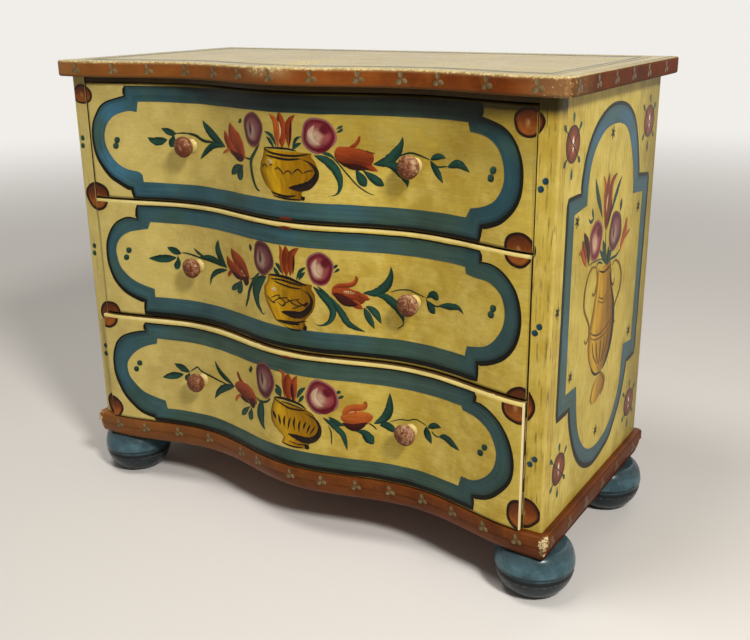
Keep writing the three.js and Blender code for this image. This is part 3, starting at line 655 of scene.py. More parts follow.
nails = []
for i in (1, 2, 3):
    low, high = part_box(f"back_plank_{i}")
    plank = cad_copy(f"back_plank_{i}", f"shiplapped_back_plank_{i}")
    edit(plank)
    pick("EDGE", lambda edge: runs_along(edge, 0)
         and edge.calc_face_angle(0) > 1 and middle(edge).y > high.y - NEAR)
    bpy.ops.mesh.bevel(offset=PLANK_CHAMFER, segments=1, affect="EDGES")
    done()
    plank.data.materials.clear()
    for finish in (pine_across, joint_stain_and_shade):
        plank.data.materials.append(finish)
    # The chamfered joints are painted with brown stain and painted shade
    for face in plank.data.polygons:
        face.material_index = 1 if face.normal.y > 0.4 and abs(face.normal.z) > 0.4 else 0
    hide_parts(f"back_plank_{i}")
    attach(plank, "carcase")
    for x in (low.x + NAIL_INSET, high.x - NAIL_INSET):
        for share in (0.2, 0.8):
            bpy.ops.mesh.primitive_cylinder_add(
                vertices=12, radius=NAIL_RADIUS, depth=NAIL_RISE, rotation=(math.pi / 2, 0, 0),
                location=(x, high.y + NAIL_RISE / 2 - NEAR, low.z + (high.z - low.z) * share))
            nail = named("nail")
            edit(nail)
            pick("FACE", lambda face: face.normal.y > 0.9)
            bpy.ops.mesh.inset(thickness=1.2 * MM, depth=0.5 * MM)
            done()
            nails.append(nail)
take(*nails)
bpy.ops.object.join()
nails[0].name = "back_nail_heads"
nails[0].data.materials.append(nail_iron)
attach(nails[0], "carcase")

# Painted shade: the rail front under the top is painted nearly black-brown
coat("top_rail_front", aged_paint("brown_glaze_on_top_rail", ["#2c200b", "#3a2c12", "#4a3a1a"], "#6a5630"))

# Top board.
# The top is one board with a serpentine front and rounded front corners. Its edge is painted red like the
# plinth, and its upper face cream, with a blue line round it. The upper arris is rubbed to bare wood.
TOP_SHY = 0.6 * MM                      # left all round for the coats of paint
TOP_OVERHANG = 14 * MM - TOP_SHY
TOP_CORNER = 9 * MM - TOP_SHY
TOP_ARRIS = 3 * MM
CORNER_STEPS = 8
top_low, top_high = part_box("top_board")
top_reach = top_high.x - TOP_SHY
top_high.z -= TOP_SHY
arc_x = top_reach - TOP_CORNER
arc_y = CORNER_Y - TOP_OVERHANG + TOP_CORNER
corner_turns = [i / CORNER_STEPS * math.pi / 2 for i in range(CORNER_STEPS + 1)]
right_arc = [(arc_x + TOP_CORNER * math.sin(t), arc_y - TOP_CORNER * math.cos(t)) for t in corner_turns]
top_fronts = (
    [(-x, y) for x, y in reversed(right_arc)]
    + [(x, curve_y(x) - TOP_OVERHANG) for x in (arc_x * (2 * i / COLUMNS - 1) for i in range(1, COLUMNS))]
    + right_arc)
last = len(top_fronts) - 1
top_backs = [(top_reach * (2 * i / last - 1), top_high.y) for i in range(last + 1)]
top_board = columned_board(
    "top_board_serpentine", top_fronts, top_backs, top_low.z + TOP_ARRIS, top_high.z - TOP_ARRIS)
edit(top_board)
mould(1, quarter(TOP_ARRIS, TOP_ARRIS) + [(4 * MM, 0)])
mould(-1, quarter(TOP_ARRIS, TOP_ARRIS))
slice_at(2, top_high.z - 4.5 * MM, top_high.z - 12 * MM, top_low.z + 6 * MM)
slice_at(1, CORNER_Y + 10 * MM, CORNER_Y + 30 * MM, CORNER_Y + 60 * MM)
done()
# Two corners that the insets throw outward come back to the line of the front
for vert in top_board.data.vertices:
    vert.co.y = max(vert.co.y, curve_y(vert.co.x) - TOP_OVERHANG)
smooth(top_board)


def top_wear(co):
    """Rubbed along the upper arris, through to the ground in front, and most of all at the right corner."""
    inside = min(top_reach - abs(co.x), co.y - curve_y(co.x) + TOP_OVERHANG, top_high.y - co.y)
    arris = fade(co.z, top_high.z - 4.5 * MM, top_high.z - 1.2 * MM) * fade(inside, 6.9 * MM, 3.5 * MM)
    corner = fade(math.hypot(co.x - top_reach, co.y - CORNER_Y), 75 * MM, 10 * MM)
    left_end = fade(math.hypot(co.x + top_reach, co.y - CORNER_Y), 60 * MM, 10 * MM)
    low_arris = fade(co.z, top_low.z + 4 * MM, top_low.z) * 0.16
    scratch = 0.5 * (co.y < 0) * fade(abs(co.x + 8 * MM), 44 * MM, 20 * MM)
    scratch *= fade(co.z, top_low.z + 5 * MM, top_high.z - 6 * MM)
    # The side edges are rubbed less than the front
    arris *= 1 - 0.7 * fade(abs(co.x), top_reach - 8 * MM, top_reach - 3 * MM) * fade(
        co.y, CORNER_Y + 10 * MM, CORNER_Y + 40 * MM)
    ends = (0.33 * corner + 0.2 * left_end) * fade(inside, 6.9 * MM, 2 * MM)
    return max(arris * 0.5, low_arris, scratch, ends)


mark(top_board, "wear_and_highlight", top_wear)
# Painted shade darkens the lower arris of the top, where it faces down
mark(top_board, "grime_and_shade", lambda co: 0.45 * fade(co.z, top_low.z + 5 * MM, top_low.z + 1 * MM))
top_paint = aged_paint(
    "cream_oil_paint_varnished", ["#8f7a3e", "#a8945a", "#bbaa70"], "#cdb982",
    brush=(16, 260, 260), roughness=(0.16, 0.3), grain=(5, 200, 200, 0.5), clouds=0.75, shine=0.04)
red_paint = aged_paint(
    "brick_red_oil_paint", ["#5a280a", "#773810", "#8c4e1a"], "#c4ac78", brush=(30, 30, 500), thinned=0.6,
    shine=0.07, paler_leftward=(-0.5, 0.25, "#a06a32"))
red_side_paint = aged_paint(
    "brick_red_oil_paint_on_side_edges", ["#481c05", "#602708", "#703610"], "#a58c58",
    brush=(30, 30, 500), thinned=0.5, shine=0.02)
for paint in (red_paint, top_paint, red_side_paint):
    top_board.data.materials.append(paint)
for face in top_board.data.polygons:
    face.material_index = 1 if face.normal.z > 0.5 else 2 if abs(face.normal.x) > 0.7 else 0
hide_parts("top_board")
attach(top_board, "carcase")


def top_outline(inset):
    """The outline of the top, so many mm further in, anticlockwise."""
    right, back = top_reach / MM - inset, top_high.y / MM - inset
    front = [(right * (i / 40 - 1), (curve_y(right * MM * (i / 40 - 1)) - TOP_OVERHANG) / MM + inset)
             for i in range(81)]
    near = front[0][1]
    side = [(right, near + (back - near) * i / 20) for i in range(1, 20)]
    rear = [(right * (1 - i / 40), back) for i in range(81)]
    return front + side + rear + [(-x, y) for x, y in reversed(side)]


# Drawer fronts.
# Each front is sawn from a thick pine board to the serpentine line and runs over the stiles' inner edges.
# The tails of the drawer sides sit in sockets cut in its ends, and stay hidden from the front.
FRONT_ARRIS_TOP, FRONT_ARRIS_LOW, FRONT_ARRIS_END = 4 * MM, 1.5 * MM, 1 * MM
FRONT_THICK = 22 * MM
front_paint = aged_paint(
    "ochre_yellow_oil_paint", yellow_tones, "#dccf9e", brush=(30, 300, 420), clouds=0.8,
    thinned=2, paler_leftward=(-0.4, 0.1, "#c9bb80"))
edge_dirt = aged_paint("brown_dirt_on_top_edges_of_drawers", ["#3f2c14", "#533c1d", "#68502c"], "#8a6c40")
for k in (1, 2, 3):
    drawer = f"drawer_{k}"
    low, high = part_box(f"{drawer}_front")
    ajar = CORNER_Y - low.y
    clean_end = max(0, ajar - 4.5 * MM)     # how far back its end shows clean paint
    stations = [low.x + (high.x - low.x) * i / COLUMNS for i in range(COLUMNS + 1)]
    front = columned_board(
        f"{drawer}_serpentine_front",
        [(x, curve_y(x) - ajar) for x in stations],
        [(x, curve_y(x) - ajar + FRONT_THICK) for x in stations], low.z, high.z)
    edit(front)
    pick("EDGE", lambda edge: runs_along(edge, 2) and middle(edge).y < low.y + FRONT_THICK / 2
         and abs(middle(edge).x) > high.x - MM)
    bpy.ops.mesh.bevel(offset=FRONT_ARRIS_END, segments=2, affect="EDGES")
    for place, offset in ((high.z, FRONT_ARRIS_TOP), (low.z, FRONT_ARRIS_LOW)):
        pick("EDGE", lambda edge: abs(middle(edge).z - place) < NEAR and runs_along(edge, 0)
             and abs(middle(edge).y - curve_y(middle(edge).x) + ajar) < 2 * MM)
        bpy.ops.mesh.bevel(offset=offset, segments=ROUND_STEPS, affect="EDGES")
    slice_at(2, high.z - 9 * MM, high.z - 30 * MM, high.z - 60 * MM, high.z - 110 * MM, low.z + 5 * MM)
    slice_at(1, low.y + clean_end, low.y + ajar + 2 * MM)
    done()
    for cutter_name in ("side_right", "side_left", "bottom"):
        cutter = cad_copy(f"{drawer}_{cutter_name}", "socket_cutter")
        cut = front.modifiers.new("socket", "BOOLEAN")
        cut.operation = "DIFFERENCE"
        cut.solver = "EXACT"
        cut.object = cutter
        take(front)
        bpy.ops.object.modifier_apply(modifier=cut.name)
        bpy.data.objects.remove(cutter)
    smooth(front)
    # Painted highlight, with some wear, pales the top arris of the two lower drawers; the end of the drawer
    # that stands ajar shows its pale ground
    mark(front, "wear_and_highlight", lambda co: max(
        0.16 * fade(co.z, high.z - 4 * MM, high.z - 2 * MM) * fade(co.x, -0.33, -0.26) * (k > 1),
        fade(abs(co.x), high.x - 1 * MM, high.x - 0.2 * MM) * (k == 3)))
    # Painted shade, with some dust, darkens the top drawer close under the overhang and most of all in the
    # middle;
    # the lower edge of each drawer is darkened too, and the closed drawers are darker near their ends, in the
    # joints
    mark(front, "grime_and_shade", lambda co: max(
        (0.3 * fade(co.z, high.z - 30 * MM, high.z - 9 * MM)
         + 0.6 * fade(co.z, high.z - 6 * MM, high.z - 3 * MM)
         + 0.28 * fade(co.z, high.z - 110 * MM, high.z - 60 * MM)) * fade(co.x, -0.33, 0.05) * (k == 1),
        0.6 * fade(co.z, low.z + 5 * MM, low.z + 1 * MM),
        0.4 * fade(abs(co.x), high.x - 5 * MM, high.x - 1 * MM) * (k < 3)))
    for finish in (front_paint, pine_across, joint_stain_and_shade, edge_dirt):
        front.data.materials.append(finish)
    for face in front.data.polygons:
        behind = face.center.y > curve_y(face.center.x) - ajar + 5 * MM
        if abs(face.normal.x) > 0.9:
            behind = face.center.y > low.y + ajar + 2 * MM
            # Only the drawer that stands well ajar shows clean paint on its end; the others take brown stain
            # and painted shade there
            if not behind and (k < 3 or face.center.y > low.y + clean_end):
                face.material_index = 2
                continue
        face.material_index = 3 if behind and face.normal.z > 0.9 else 1 if behind else 0
    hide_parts(f"{drawer}_front")
    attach(front, drawer)

# Knobs.
# Each knob is one turning: a spigot glued through the front, a flange, a neck and a ball. Hands and painted
# highlights have paled the red-brown paint of the ball to pink and cream, and the flange is still pale
# yellow.
KNOB_BALL, KNOB_FLANGE, KNOB_NECK = 14 * MM, 9 * MM, 6.5 * MM
KNOB_LENGTH, KNOB_BALL_LENGTH, KNOB_FLANGE_THICK = 27 * MM, 17 * MM, 2.5 * MM
SPIGOT_RADIUS = 4.9 * MM
SPIGOT_LENGTH = 21 * MM
ball_start = KNOB_LENGTH - KNOB_BALL_LENGTH
ball_middle = KNOB_LENGTH - KNOB_BALL_LENGTH / 2
knob_profile = (
    [(0, -SPIGOT_LENGTH), (SPIGOT_RADIUS, -SPIGOT_LENGTH), (SPIGOT_RADIUS, 0)]
    + [(KNOB_FLANGE - MM, 0), (KNOB_FLANGE, MM), (KNOB_FLANGE - MM, KNOB_FLANGE_THICK)]
    + [(KNOB_NECK, KNOB_FLANGE_THICK + 2 * MM)]
    + bow((KNOB_NECK, ball_start), (KNOB_BALL, ball_middle), True, 8)
    + bow((KNOB_BALL, ball_middle), (0, KNOB_LENGTH), False, 10)[1:])
knob_model = turned("knob_model", knob_profile, 40)
mark(knob_model, "pale", lambda co: fade(ball_start, co.z, co.z + 2 * MM))

# Swirls of brick red, pink and cream, 6 mm across, pass softly into each other
knob_paint, tree, shader = new_finish("rubbed_red_brown_knob_paint")
place = node(tree, "ShaderNodeTexCoord").outputs["Object"]
swirls = node(tree, "ShaderNodeTexNoise", {
    "Vector": place, "Scale": 150, "Detail": 3, "Roughness": 0.6, "Distortion": 1.6})
veins = node(tree, "ShaderNodeTexNoise", {
    "Vector": place, "Scale": 420, "Detail": 3, "Roughness": 0.7, "Distortion": 0.8})
# Wear and painted highlights, marked on each knob, pale the ball to pink and cream
rubbed = node(tree, "ShaderNodeAttribute", attribute_name="wear_and_highlight")
amount = node(tree, "ShaderNodeMath", {
    0: rubbed.outputs["Fac"], 1: 0.4, 2: swirls.outputs["Fac"]}, operation="MULTIPLY_ADD")
pink = node(tree, "ShaderNodeMapRange", {"Value": amount.outputs[0], "From Min": 0.52, "From Max": 0.66})
cream = node(tree, "ShaderNodeMapRange", {
    "Value": amount.outputs[0], "From Min": 0.64, "From Max": 0.8, "To Max": 0.6})
vein = node(tree, "ShaderNodeMapRange", {
    "Value": veins.outputs["Fac"], "From Min": 0.5, "From Max": 0.66, "To Max": 0.65})
color = node(tree, "ShaderNodeMix", {
    0: pink.outputs[0], 6: linear("#643420"), 7: linear("#86583c")}, data_type="RGBA")
color = node(tree, "ShaderNodeMix", {
    0: cream.outputs[0], 6: color.outputs[2], 7: linear("#bd9f74")}, data_type="RGBA")
color = node(tree, "ShaderNodeMix", {
    0: vein.outputs[0], 6: color.outputs[2], 7: linear("#5c2a14")}, data_type="RGBA")
pale = node(tree, "ShaderNodeAttribute", attribute_name="pale")
color = node(tree, "ShaderNodeMix", {
    0: pale.outputs["Fac"], 6: color.outputs[2], 7: linear("#c7b06e")}, data_type="RGBA")
tree.links.new(color.outputs[2], shader.inputs["Base Color"])
shader.inputs["Roughness"].default_value = 0.22
shader.inputs["Specular IOR Level"].default_value = PAINT_SHINE
bump = node(tree, "ShaderNodeBump", {
    "Height": veins.outputs["Fac"], "Strength": 0.4, "Distance": 0.3 * MM})
tree.links.new(bump.outputs[0], shader.inputs["Normal"])

for k in (1, 2, 3):
    for side_name, turn, highlight_share in (("right", 0.7, 0.25), ("left", 2.9, 0)):
        low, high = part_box(f"drawer_{k}_knob_{side_name}")
        knob = copied(knob_model, f"drawer_{k}_turned_knob_{side_name}")
        for vert in knob.data.vertices:
            if vert.co.z > KNOB_FLANGE_THICK:
                dent = noise.noise((vert.co + Vector((k, turn, 0))) * 55)
                vert.co += vert.co.normalized() * dent * 0.9 * MM
        # Painted highlight and wear pale each ball toward the upper right, where the light falls and the hand
        # reaches, and more on the right-hand knobs
        mark(knob, "wear_and_highlight", lambda co: (
            0.5 * fade(co.x + 1.2 * co.y, -14 * MM, 20 * MM) + highlight_share - 0.2))
        knob.data.transform(
            Matrix.Translation(((low.x + high.x) / 2, low.y + KNOB_LENGTH, (low.z + high.z) / 2))
            @ Matrix.Rotation(math.pi / 2, 4, "X"))
        knob.data.materials.append(knob_paint)
        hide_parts(f"drawer_{k}_knob_{side_name}")
        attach(knob, f"drawer_{k}")
bpy.data.objects.remove(knob_model)

# Painted bands, red discs and flowers.
# The furniture painter worked freehand over the closed drawers: slate-blue bands with black outlines,
# brick discs across the joints, and a vase of flowers on each drawer. From here on, places on the faces
# are in mm, from the middle of the chest and above the plinth's underside.
datum = base_low.z
FILM_LIFT, FILM_THICK = 0.2 * MM, 0.08 * MM       # lift of the first coat, and thickness of each
COAT_STEP, STROKE_STEP = 0.12 * MM, 0.02 * MM     # from coat to coat, and from stroke to stroke
STROKES_APART = 5
# The painter's colors, each from its darker to its lighter side
TONES = {
    "teal": ("#0b1e18", "#224638"), "stem": ("#132013", "#2b4430"), "dots": ("#152b20", "#2f4c3c"),
    "blue": ("#142e36", "#284852"), "red": ("#602109", "#9a421a"), "rust": ("#5a1f06", "#96430f"),
    "orange": ("#8c3a12", "#b35f22"), "maroon": ("#220b0a", "#45160f"), "patch": ("#43160c", "#6b2a16"),
    "rose_pale": ("#b08a74", "#c9b092"), "rose_deep": ("#4c0a16", "#681420"), "pale": ("#b58a5e", "#d2ba86"),
    "amber": ("#5a3c08", "#8c6412"), "brown": ("#3e2607", "#63430a"), "black": ("#120f0b", "#241810"),
    "sprig": ("#57452a", "#80704c"), "faded": ("#4c3a24", "#6c583c"),
}


def on_drawer(k):
    """Where a painted place on a drawer front lies, lifted off the wood by so much."""
    ajar = CORNER_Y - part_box(f"drawer_{k}_front")[0].y
    return lambda x, z, lift: (x, curve_y(x) - ajar - lift, datum + z)


def on_stile(x, z, lift):
    """The same for the stiles, whose faces are flat."""
    return x, CORNER_Y - lift, datum + z


def smooth_line(points, shares):
    """Places along a smooth curve through the points, and its length."""
    ends = [points[0], *points, points[-1]]
    fine = []
    for a, b, c, d in zip(ends, ends[1:], ends[2:], ends[3:]):
        for step in range(10):
            t = step / 10
            fine.append([b[i] + (c[i] - a[i]) / 2 * t + (2 * a[i] - 5 * b[i] + 4 * c[i] - d[i]) / 2 * t ** 2
                         + (3 * b[i] - a[i] - 3 * c[i] + d[i]) / 2 * t ** 3 for i in (0, 1)])
    fine.append(points[-1])
    runs = [0]
    for a, b in zip(fine, fine[1:]):
        runs.append(runs[-1] + math.dist(a, b))
    places = []
    for share in shares:
        goal = share * runs[-1]
        k = max(i for i in range(len(fine) - 1) if runs[i] <= goal or i == 0)
        t = (goal - runs[k]) / max(runs[k + 1] - runs[k], 1e-9)
        places.append([fine[k][i] + (fine[k + 1][i] - fine[k][i]) * t for i in (0, 1)])
    return places, runs[-1]


def film(name, rows, columns, place, closed=False):
    """A flat film of paint. place gives (x, y, color, run, width) for a row and a column, in mm.

    run and width are the place along and across the stroke, for the hairs of the brush to follow.
    """
    bpy.ops.mesh.primitive_grid_add(x_subdivisions=rows - 1, y_subdivisions=columns - 1, size=1)
    piece = bpy.context.object
    piece.name = name
    tint = piece.data.attributes.new("tint", "FLOAT_COLOR", "POINT")
    flow = piece.data.attributes.new("flow", "FLOAT_VECTOR", "POINT")
    seed = random.random()
    for vert in piece.data.vertices:
        row = round((vert.co.x + 0.5) * (rows - 1))
        column = round((vert.co.y + 0.5) * (columns - 1))
        x, y, color, run, width = place(row, column)
        vert.co = (x * MM, y * MM, 0)
        tint.data[vert.index].color = color
        flow.data[vert.index].vector = (run * MM, width * MM, seed)
    if closed:
        edit(piece)
        bpy.ops.mesh.select_all(action="SELECT")
        bpy.ops.mesh.remove_doubles(threshold=HAIR)
        done()
    return piece


def mixed(a, b, share):
    """What lies a share of the way from a to b."""
    return tuple(p + (q - p) * share for p, q in zip(a, b))


def swell(shape, t):
    """Width of a brush stroke, as a share of its widest, at a share of its length."""
    rise = {
        "leaf": math.sin(math.pi * t ** 0.9) ** 0.85,
        "drop": math.sin(math.pi * t ** 1.7) ** 0.7,
        "comma": math.sin(math.pi * t ** 2.1) ** 0.8 + 0.3 * math.sin(math.pi * t),
        "tail": math.sin(math.pi * t ** 0.62) ** 1.5 + 0.12 * math.sin(math.pi * t),
        "fat": math.sin(math.pi * t) ** 0.55,
        "blunt": (1 - (2 * t - 1) ** 8) ** 0.5 if 0 < t < 1 else 0,
        "stem": math.sin(math.pi * t) ** 0.35,
    }
    return max(rise[shape], 0.04)


def stroke(tone, shape, width, points):
    """One stroke of a loaded brush, darker at one side than the other."""
    length = sum(math.dist(a, b) for a, b in zip(points, points[1:]))
    rows = max(8, min(44, round(length / 1.8)))
    columns = 5 if width > 3 else 3
    # Rows lie closer together at the ends, where the stroke is rounded
    evenly = [i / (rows - 1) for i in range(rows)]
    shares = [(1 - math.cos(math.pi * t)) / 2 * 0.6 + t * 0.4 for t in evenly]
    line, length = smooth_line(points, shares)
    dark, light = (linear(code) for code in TONES[tone])
    seed = random.random() * 50

    def place(row, column):
        before, after = line[max(row - 1, 0)], line[min(row + 1, rows - 1)]
        way = Vector((after[0] - before[0], after[1] - before[1])).normalized()
        edge = column / (columns - 1) * 2 - 1
        ragged = 1 + 0.14 * noise.noise(Vector((shares[row] * length / 4, seed, edge)))
        half = width / 2 * swell(shape, shares[row]) * ragged
        uneven = noise.noise(Vector((shares[row] * 3, edge, seed)))
        share = 0.5 + 0.5 * edge + 0.35 * uneven
        if tone == "teal":
            share = 0.95 - 0.75 * abs(edge - 0.25) + 0.3 * uneven
        color = mixed(dark, light, max(0, min(1, share)))
        x, y = line[row]
        return x - way.y * half * edge, y + way.x * half * edge, color, shares[row] * length, half * edge

    return film("stroke", rows, columns, place)


def ring(color, outer, inner, columns=5, seed=0, wavy=0.7):
    """A band of paint between two outlines of as many places, which run anticlockwise."""
    runs = [0]
    for a, b in zip(outer, outer[1:] + outer[:1]):
        runs.append(runs[-1] + math.dist(a, b))

    def shaken(spot, part):
        at = Vector((spot[0] / 34, spot[1] / 34, seed + part))
        return spot[0] + wavy * noise.noise(at), spot[1] + wavy * noise.noise(-at)

    def place(row, column):
        share = column / (columns - 1)
        a = shaken(outer[row % len(outer)], 0)
        b = shaken(inner[row % len(inner)], 3)
        spot = mixed(a, b, share)
        return *spot, color(*spot, share) if callable(color) else color, runs[row], share * math.dist(a, b)

    return film("ring", len(outer) + 1, columns, place, closed=True)


def disc(middle, radii, colors, shares, wave=0.03, turns=36):
    """A round of paint, whose rings at the given shares of its radius take their color from a function."""
    seed = random.random() * 9

    def place(row, column):
        turn = 2 * math.pi * row / (turns - 1)
        swing = 1 + wave * math.sin(3 * turn + seed) + wave * 0.6 * math.sin(5 * turn + 2 * seed)
        reach = shares[column] * swing
        x, y = reach * math.cos(turn), reach * math.sin(turn)
        return (middle[0] + radii[0] * x, middle[1] + radii[1] * y, colors(x / swing, y / swing),
                turn * radii[0] * 0.6, shares[column] * radii[0])

    return film("disc", turns, len(shares), place, closed=True)


def joined(name, *coats):
    """Joins the films of several coats of paint into one piece, each coat higher than the one under it."""
    films = []
    for coat, pieces in enumerate(coats):
        for i, piece in enumerate(pieces):
            lift = FILM_LIFT + coat * COAT_STEP + i % STROKES_APART * STROKE_STEP
            piece.data.transform(Matrix.Translation((0, 0, lift)))
            films.append(piece)
    take(*films)
    bpy.ops.object.join()
    films[0].name = name
    films[0].data.name = name
    return films[0]


def laid(piece, surface, body, paint, slot, span=None, flipped=False):
    """Trims a flat film to the span of a panel, lays it on the panel's surface and gives it thickness."""
    if span:
        edit(piece)
        for axis, low, high in ((0, span[0], span[1]), (1, span[2], span[3])):
            for place, way in ((low, -1), (high, 1)):
                bpy.ops.mesh.select_all(action="SELECT")
                bpy.ops.mesh.bisect(
                    plane_co=[place * MM if i == axis else 0 for i in range(3)],
                    plane_no=[way if i == axis else 0 for i in range(3)], clear_outer=True)
        done()
    for vert in piece.data.vertices:
        vert.co = surface(vert.co.x, vert.co.y, vert.co.z)
    if flipped:
        edit(piece)
        bpy.ops.mesh.select_all(action="SELECT")
        bpy.ops.mesh.flip_normals()
        done()
    take(piece)
    wall = piece.modifiers.new("thickness", "SOLIDIFY")
    wall.thickness = FILM_THICK
    wall.offset = -1
    bpy.ops.object.modifier_apply(modifier=wall.name)
    piece.data.materials.append(paint)
    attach(piece, body)
    return piece


def artist_paint(name, streaks=(50, 900), roughness=0.3, depth=0.36, second=None, specked=0.4):
    """Artist's oil color in single strokes: the tints of a loaded brush, streaked by its hairs.

    depth is how far the streaks go lighter and darker, second a tone that clouds it over 60 mm, and
    specked how strongly the ground shows in fine specks.
    """
    paint, tree, shader = new_finish(name)
    tint = node(tree, "ShaderNodeAttribute", attribute_name="tint")
    flow = node(tree, "ShaderNodeAttribute", attribute_name="flow")
    place = node(tree, "ShaderNodeTexCoord").outputs["Object"]
    stretch = node(tree, "ShaderNodeVectorMath", {
        0: flow.outputs["Vector"], 1: (*streaks, 60)}, operation="MULTIPLY")
    hairs = node(tree, "ShaderNodeTexNoise", {"Vector": stretch.outputs[0], "Scale": 1, "Detail": 3})
    cloud = node(tree, "ShaderNodeTexNoise", {"Vector": place, "Scale": 26, "Detail": 4})
    uneven = node(tree, "ShaderNodeMath", {
        0: hairs.outputs["Fac"], 1: cloud.outputs["Fac"]}, operation="ADD")
    shade = node(tree, "ShaderNodeMapRange", {
        "Value": uneven.outputs[0], "From Min": 0.7, "From Max": 1.3,
        "To Min": 1 - depth, "To Max": 1 + depth})
    base = tint.outputs["Color"]
    if second:
        mist = node(tree, "ShaderNodeTexNoise", {
            "Vector": place, "Scale": 15, "Detail": 4, "Roughness": 0.6})
        much = node(tree, "ShaderNodeMapRange", {
            "Value": mist.outputs["Fac"], "From Min": 0.44, "From Max": 0.66, "To Max": 0.8})
        base = node(tree, "ShaderNodeMix", {
            0: much.outputs[0], 6: base, 7: linear(second)}, data_type="RGBA").outputs[2]
        # The black outline stays black where the second tone clouds the band
        bright = node(tree, "ShaderNodeVectorMath", {0: tint.outputs["Color"]}, operation="LENGTH")
        line = node(tree, "ShaderNodeMapRange", {
            "Value": bright.outputs["Value"], "From Min": 0.02, "From Max": 0.06})
        base = node(tree, "ShaderNodeMix", {
            0: line.outputs[0], 6: tint.outputs["Color"], 7: base}, data_type="RGBA").outputs[2]
    color = node(tree, "ShaderNodeVectorMath", {0: base, 1: shade.outputs[0]}, operation="MULTIPLY")
    # Fine crackle and dirt, 2.4 mm apart, so that it just shows
    specks = node(tree, "ShaderNodeTexNoise", {"Vector": place, "Scale": 420, "Detail": 2})
    rubbed = node(tree, "ShaderNodeMapRange", {
        "Value": specks.outputs["Fac"], "From Min": 0.7, "From Max": 0.78, "To Max": specked})
    worn = node(tree, "ShaderNodeMix", {
        0: rubbed.outputs[0], 6: color.outputs[0], 7: linear("#a89a62")}, data_type="RGBA")
    tree.links.new(worn.outputs[2], shader.inputs["Base Color"])
    shader.inputs["Roughness"].default_value = roughness
    shader.inputs["Specular IOR Level"].default_value = PAINT_SHINE
    bump = node(tree, "ShaderNodeBump", {
        "Height": hairs.outputs["Fac"], "Strength": 0.3, "Distance": 0.2 * MM})
    tree.links.new(bump.outputs[0], shader.inputs["Normal"])
    return paint


flower_paint = artist_paint("decorators_oil_color_on_flowers")
band_paint = artist_paint(
    "slate_blue_oil_color_on_bands", streaks=(9, 260), roughness=0.32, depth=0.24, second="#384f40",
    specked=0.12)
disc_paint = artist_paint("brick_red_oil_color_on_discs", streaks=(120, 500))


def panel_outline(left, right):
    """Outline of a painted panel, anticlockwise.

    Each end is given from the top down: a corner, the round lobe from its upper to its lower step, and
    a corner.
    """
    runs = [([right[0], left[0]], 60), (left[:2], 4), (left[1:-1], 36), (left[-2:], 4),
            ([left[-1], right[-1]], 60), (right[:-3:-1], 4), (right[-2:0:-1], 36), (right[1::-1], 4)]
    places = []
    for points, count in runs:
        places += smooth_line(points, [i / count for i in range(count)])[0]
    return places


def outset(outline, least, most):
    """The same outline further out, by the least where it faces up and by the most where it faces down."""
    places = []
    for before, spot, after in zip(outline[-1:] + outline[:-1], outline, outline[1:] + outline[:1]):
        way = Vector((after[0] - before[0], after[1] - before[1])).normalized()
        far = least + (most - least) * (1 + way.x) / 2
        places.append((spot[0] + way.y * far, spot[1] - way.x * far))
    return places


BAND, BAND_SHADED, BAND_LINE = linear("#30545f"), linear("#1f3a3c"), linear("#12120b")
BAND_RUN, BAND_LIT = linear("#3b4c40"), linear("#3a667a")
LINE_LAP = 2                            # how far the black outline runs in under the blue
# Outer and inner outline of each band, as (x, height): its left end, then its right one
BANDS = {
    1: (([(-271, 525), (-272, 511), (-287, 507), (-300, 503), (-310, 497), (-318, 487), (-325, 474),
          (-328, 455), (-325, 433), (-317, 418), (-305, 404), (-292, 396), (-279, 389), (-272, 387),
          (-269, 374)],
         [(262, 525), (262, 510), (280, 506), (292, 502), (302, 494), (310, 482), (315, 466), (316, 446),
          (314, 432), (308, 419), (297, 407), (285, 399), (265, 392), (261, 375)]),
        ([(-254, 505), (-257, 491), (-270, 492), (-288, 487), (-298, 480), (-306, 469), (-310, 455),
          (-308, 442), (-301, 430), (-291, 419), (-278, 412), (-262, 409), (-256, 405), (-255, 395)],
         [(245, 504), (248, 494), (265, 492), (276, 488), (285, 481), (292, 470), (296, 453), (294, 438),
          (286, 424), (277, 417), (263, 411), (250, 408), (244, 397)])),
    2: (([(-266, 361), (-268, 341), (-281, 343), (-293, 339), (-303, 333), (-312, 322), (-319, 305),
          (-321, 285), (-318, 267), (-311, 251), (-298, 238), (-283, 230), (-265, 223), (-267, 206)],
         [(266, 361), (266, 348), (280, 349), (293, 345), (306, 335), (315, 322), (320, 305), (321, 288),
          (318, 270), (311, 256), (298, 243), (281, 234), (264, 229), (264, 209)]),
        ([(-249, 339), (-253, 329), (-266, 327), (-280, 324), (-292, 318), (-302, 308), (-307, 293),
          (-303, 273), (-295, 262), (-284, 253), (-269, 246), (-251, 241), (-251, 229)],
         [(245, 340), (247, 332), (262, 330), (278, 329), (289, 324), (298, 315), (303, 298), (301, 281),
          (295, 268), (286, 257), (272, 249), (250, 244), (247, 231)])),
    3: (([(-264, 189), (-264, 177), (-276, 175), (-290, 171), (-304, 164), (-314, 152), (-320, 132),
          (-320, 108), (-314, 90), (-305, 74), (-292, 60), (-279, 51), (-261, 46), (-260, 42)],
         [(267, 192), (266, 180), (277, 180), (291, 174), (305, 163), (315, 148), (321, 125), (320, 105),
          (314, 91), (302, 77), (287, 66), (266, 59), (267, 43)]),
        ([(-247, 168), (-249, 160), (-266, 155), (-279, 148), (-290, 138), (-299, 124), (-298, 107),
          (-290, 95), (-277, 83), (-262, 77), (-242, 71), (-240, 59)],
         [(248, 170), (250, 165), (268, 163), (283, 156), (293, 146), (301, 128), (300, 112), (293, 98),
          (281, 86), (266, 78), (249, 77), (245, 62)])),
}


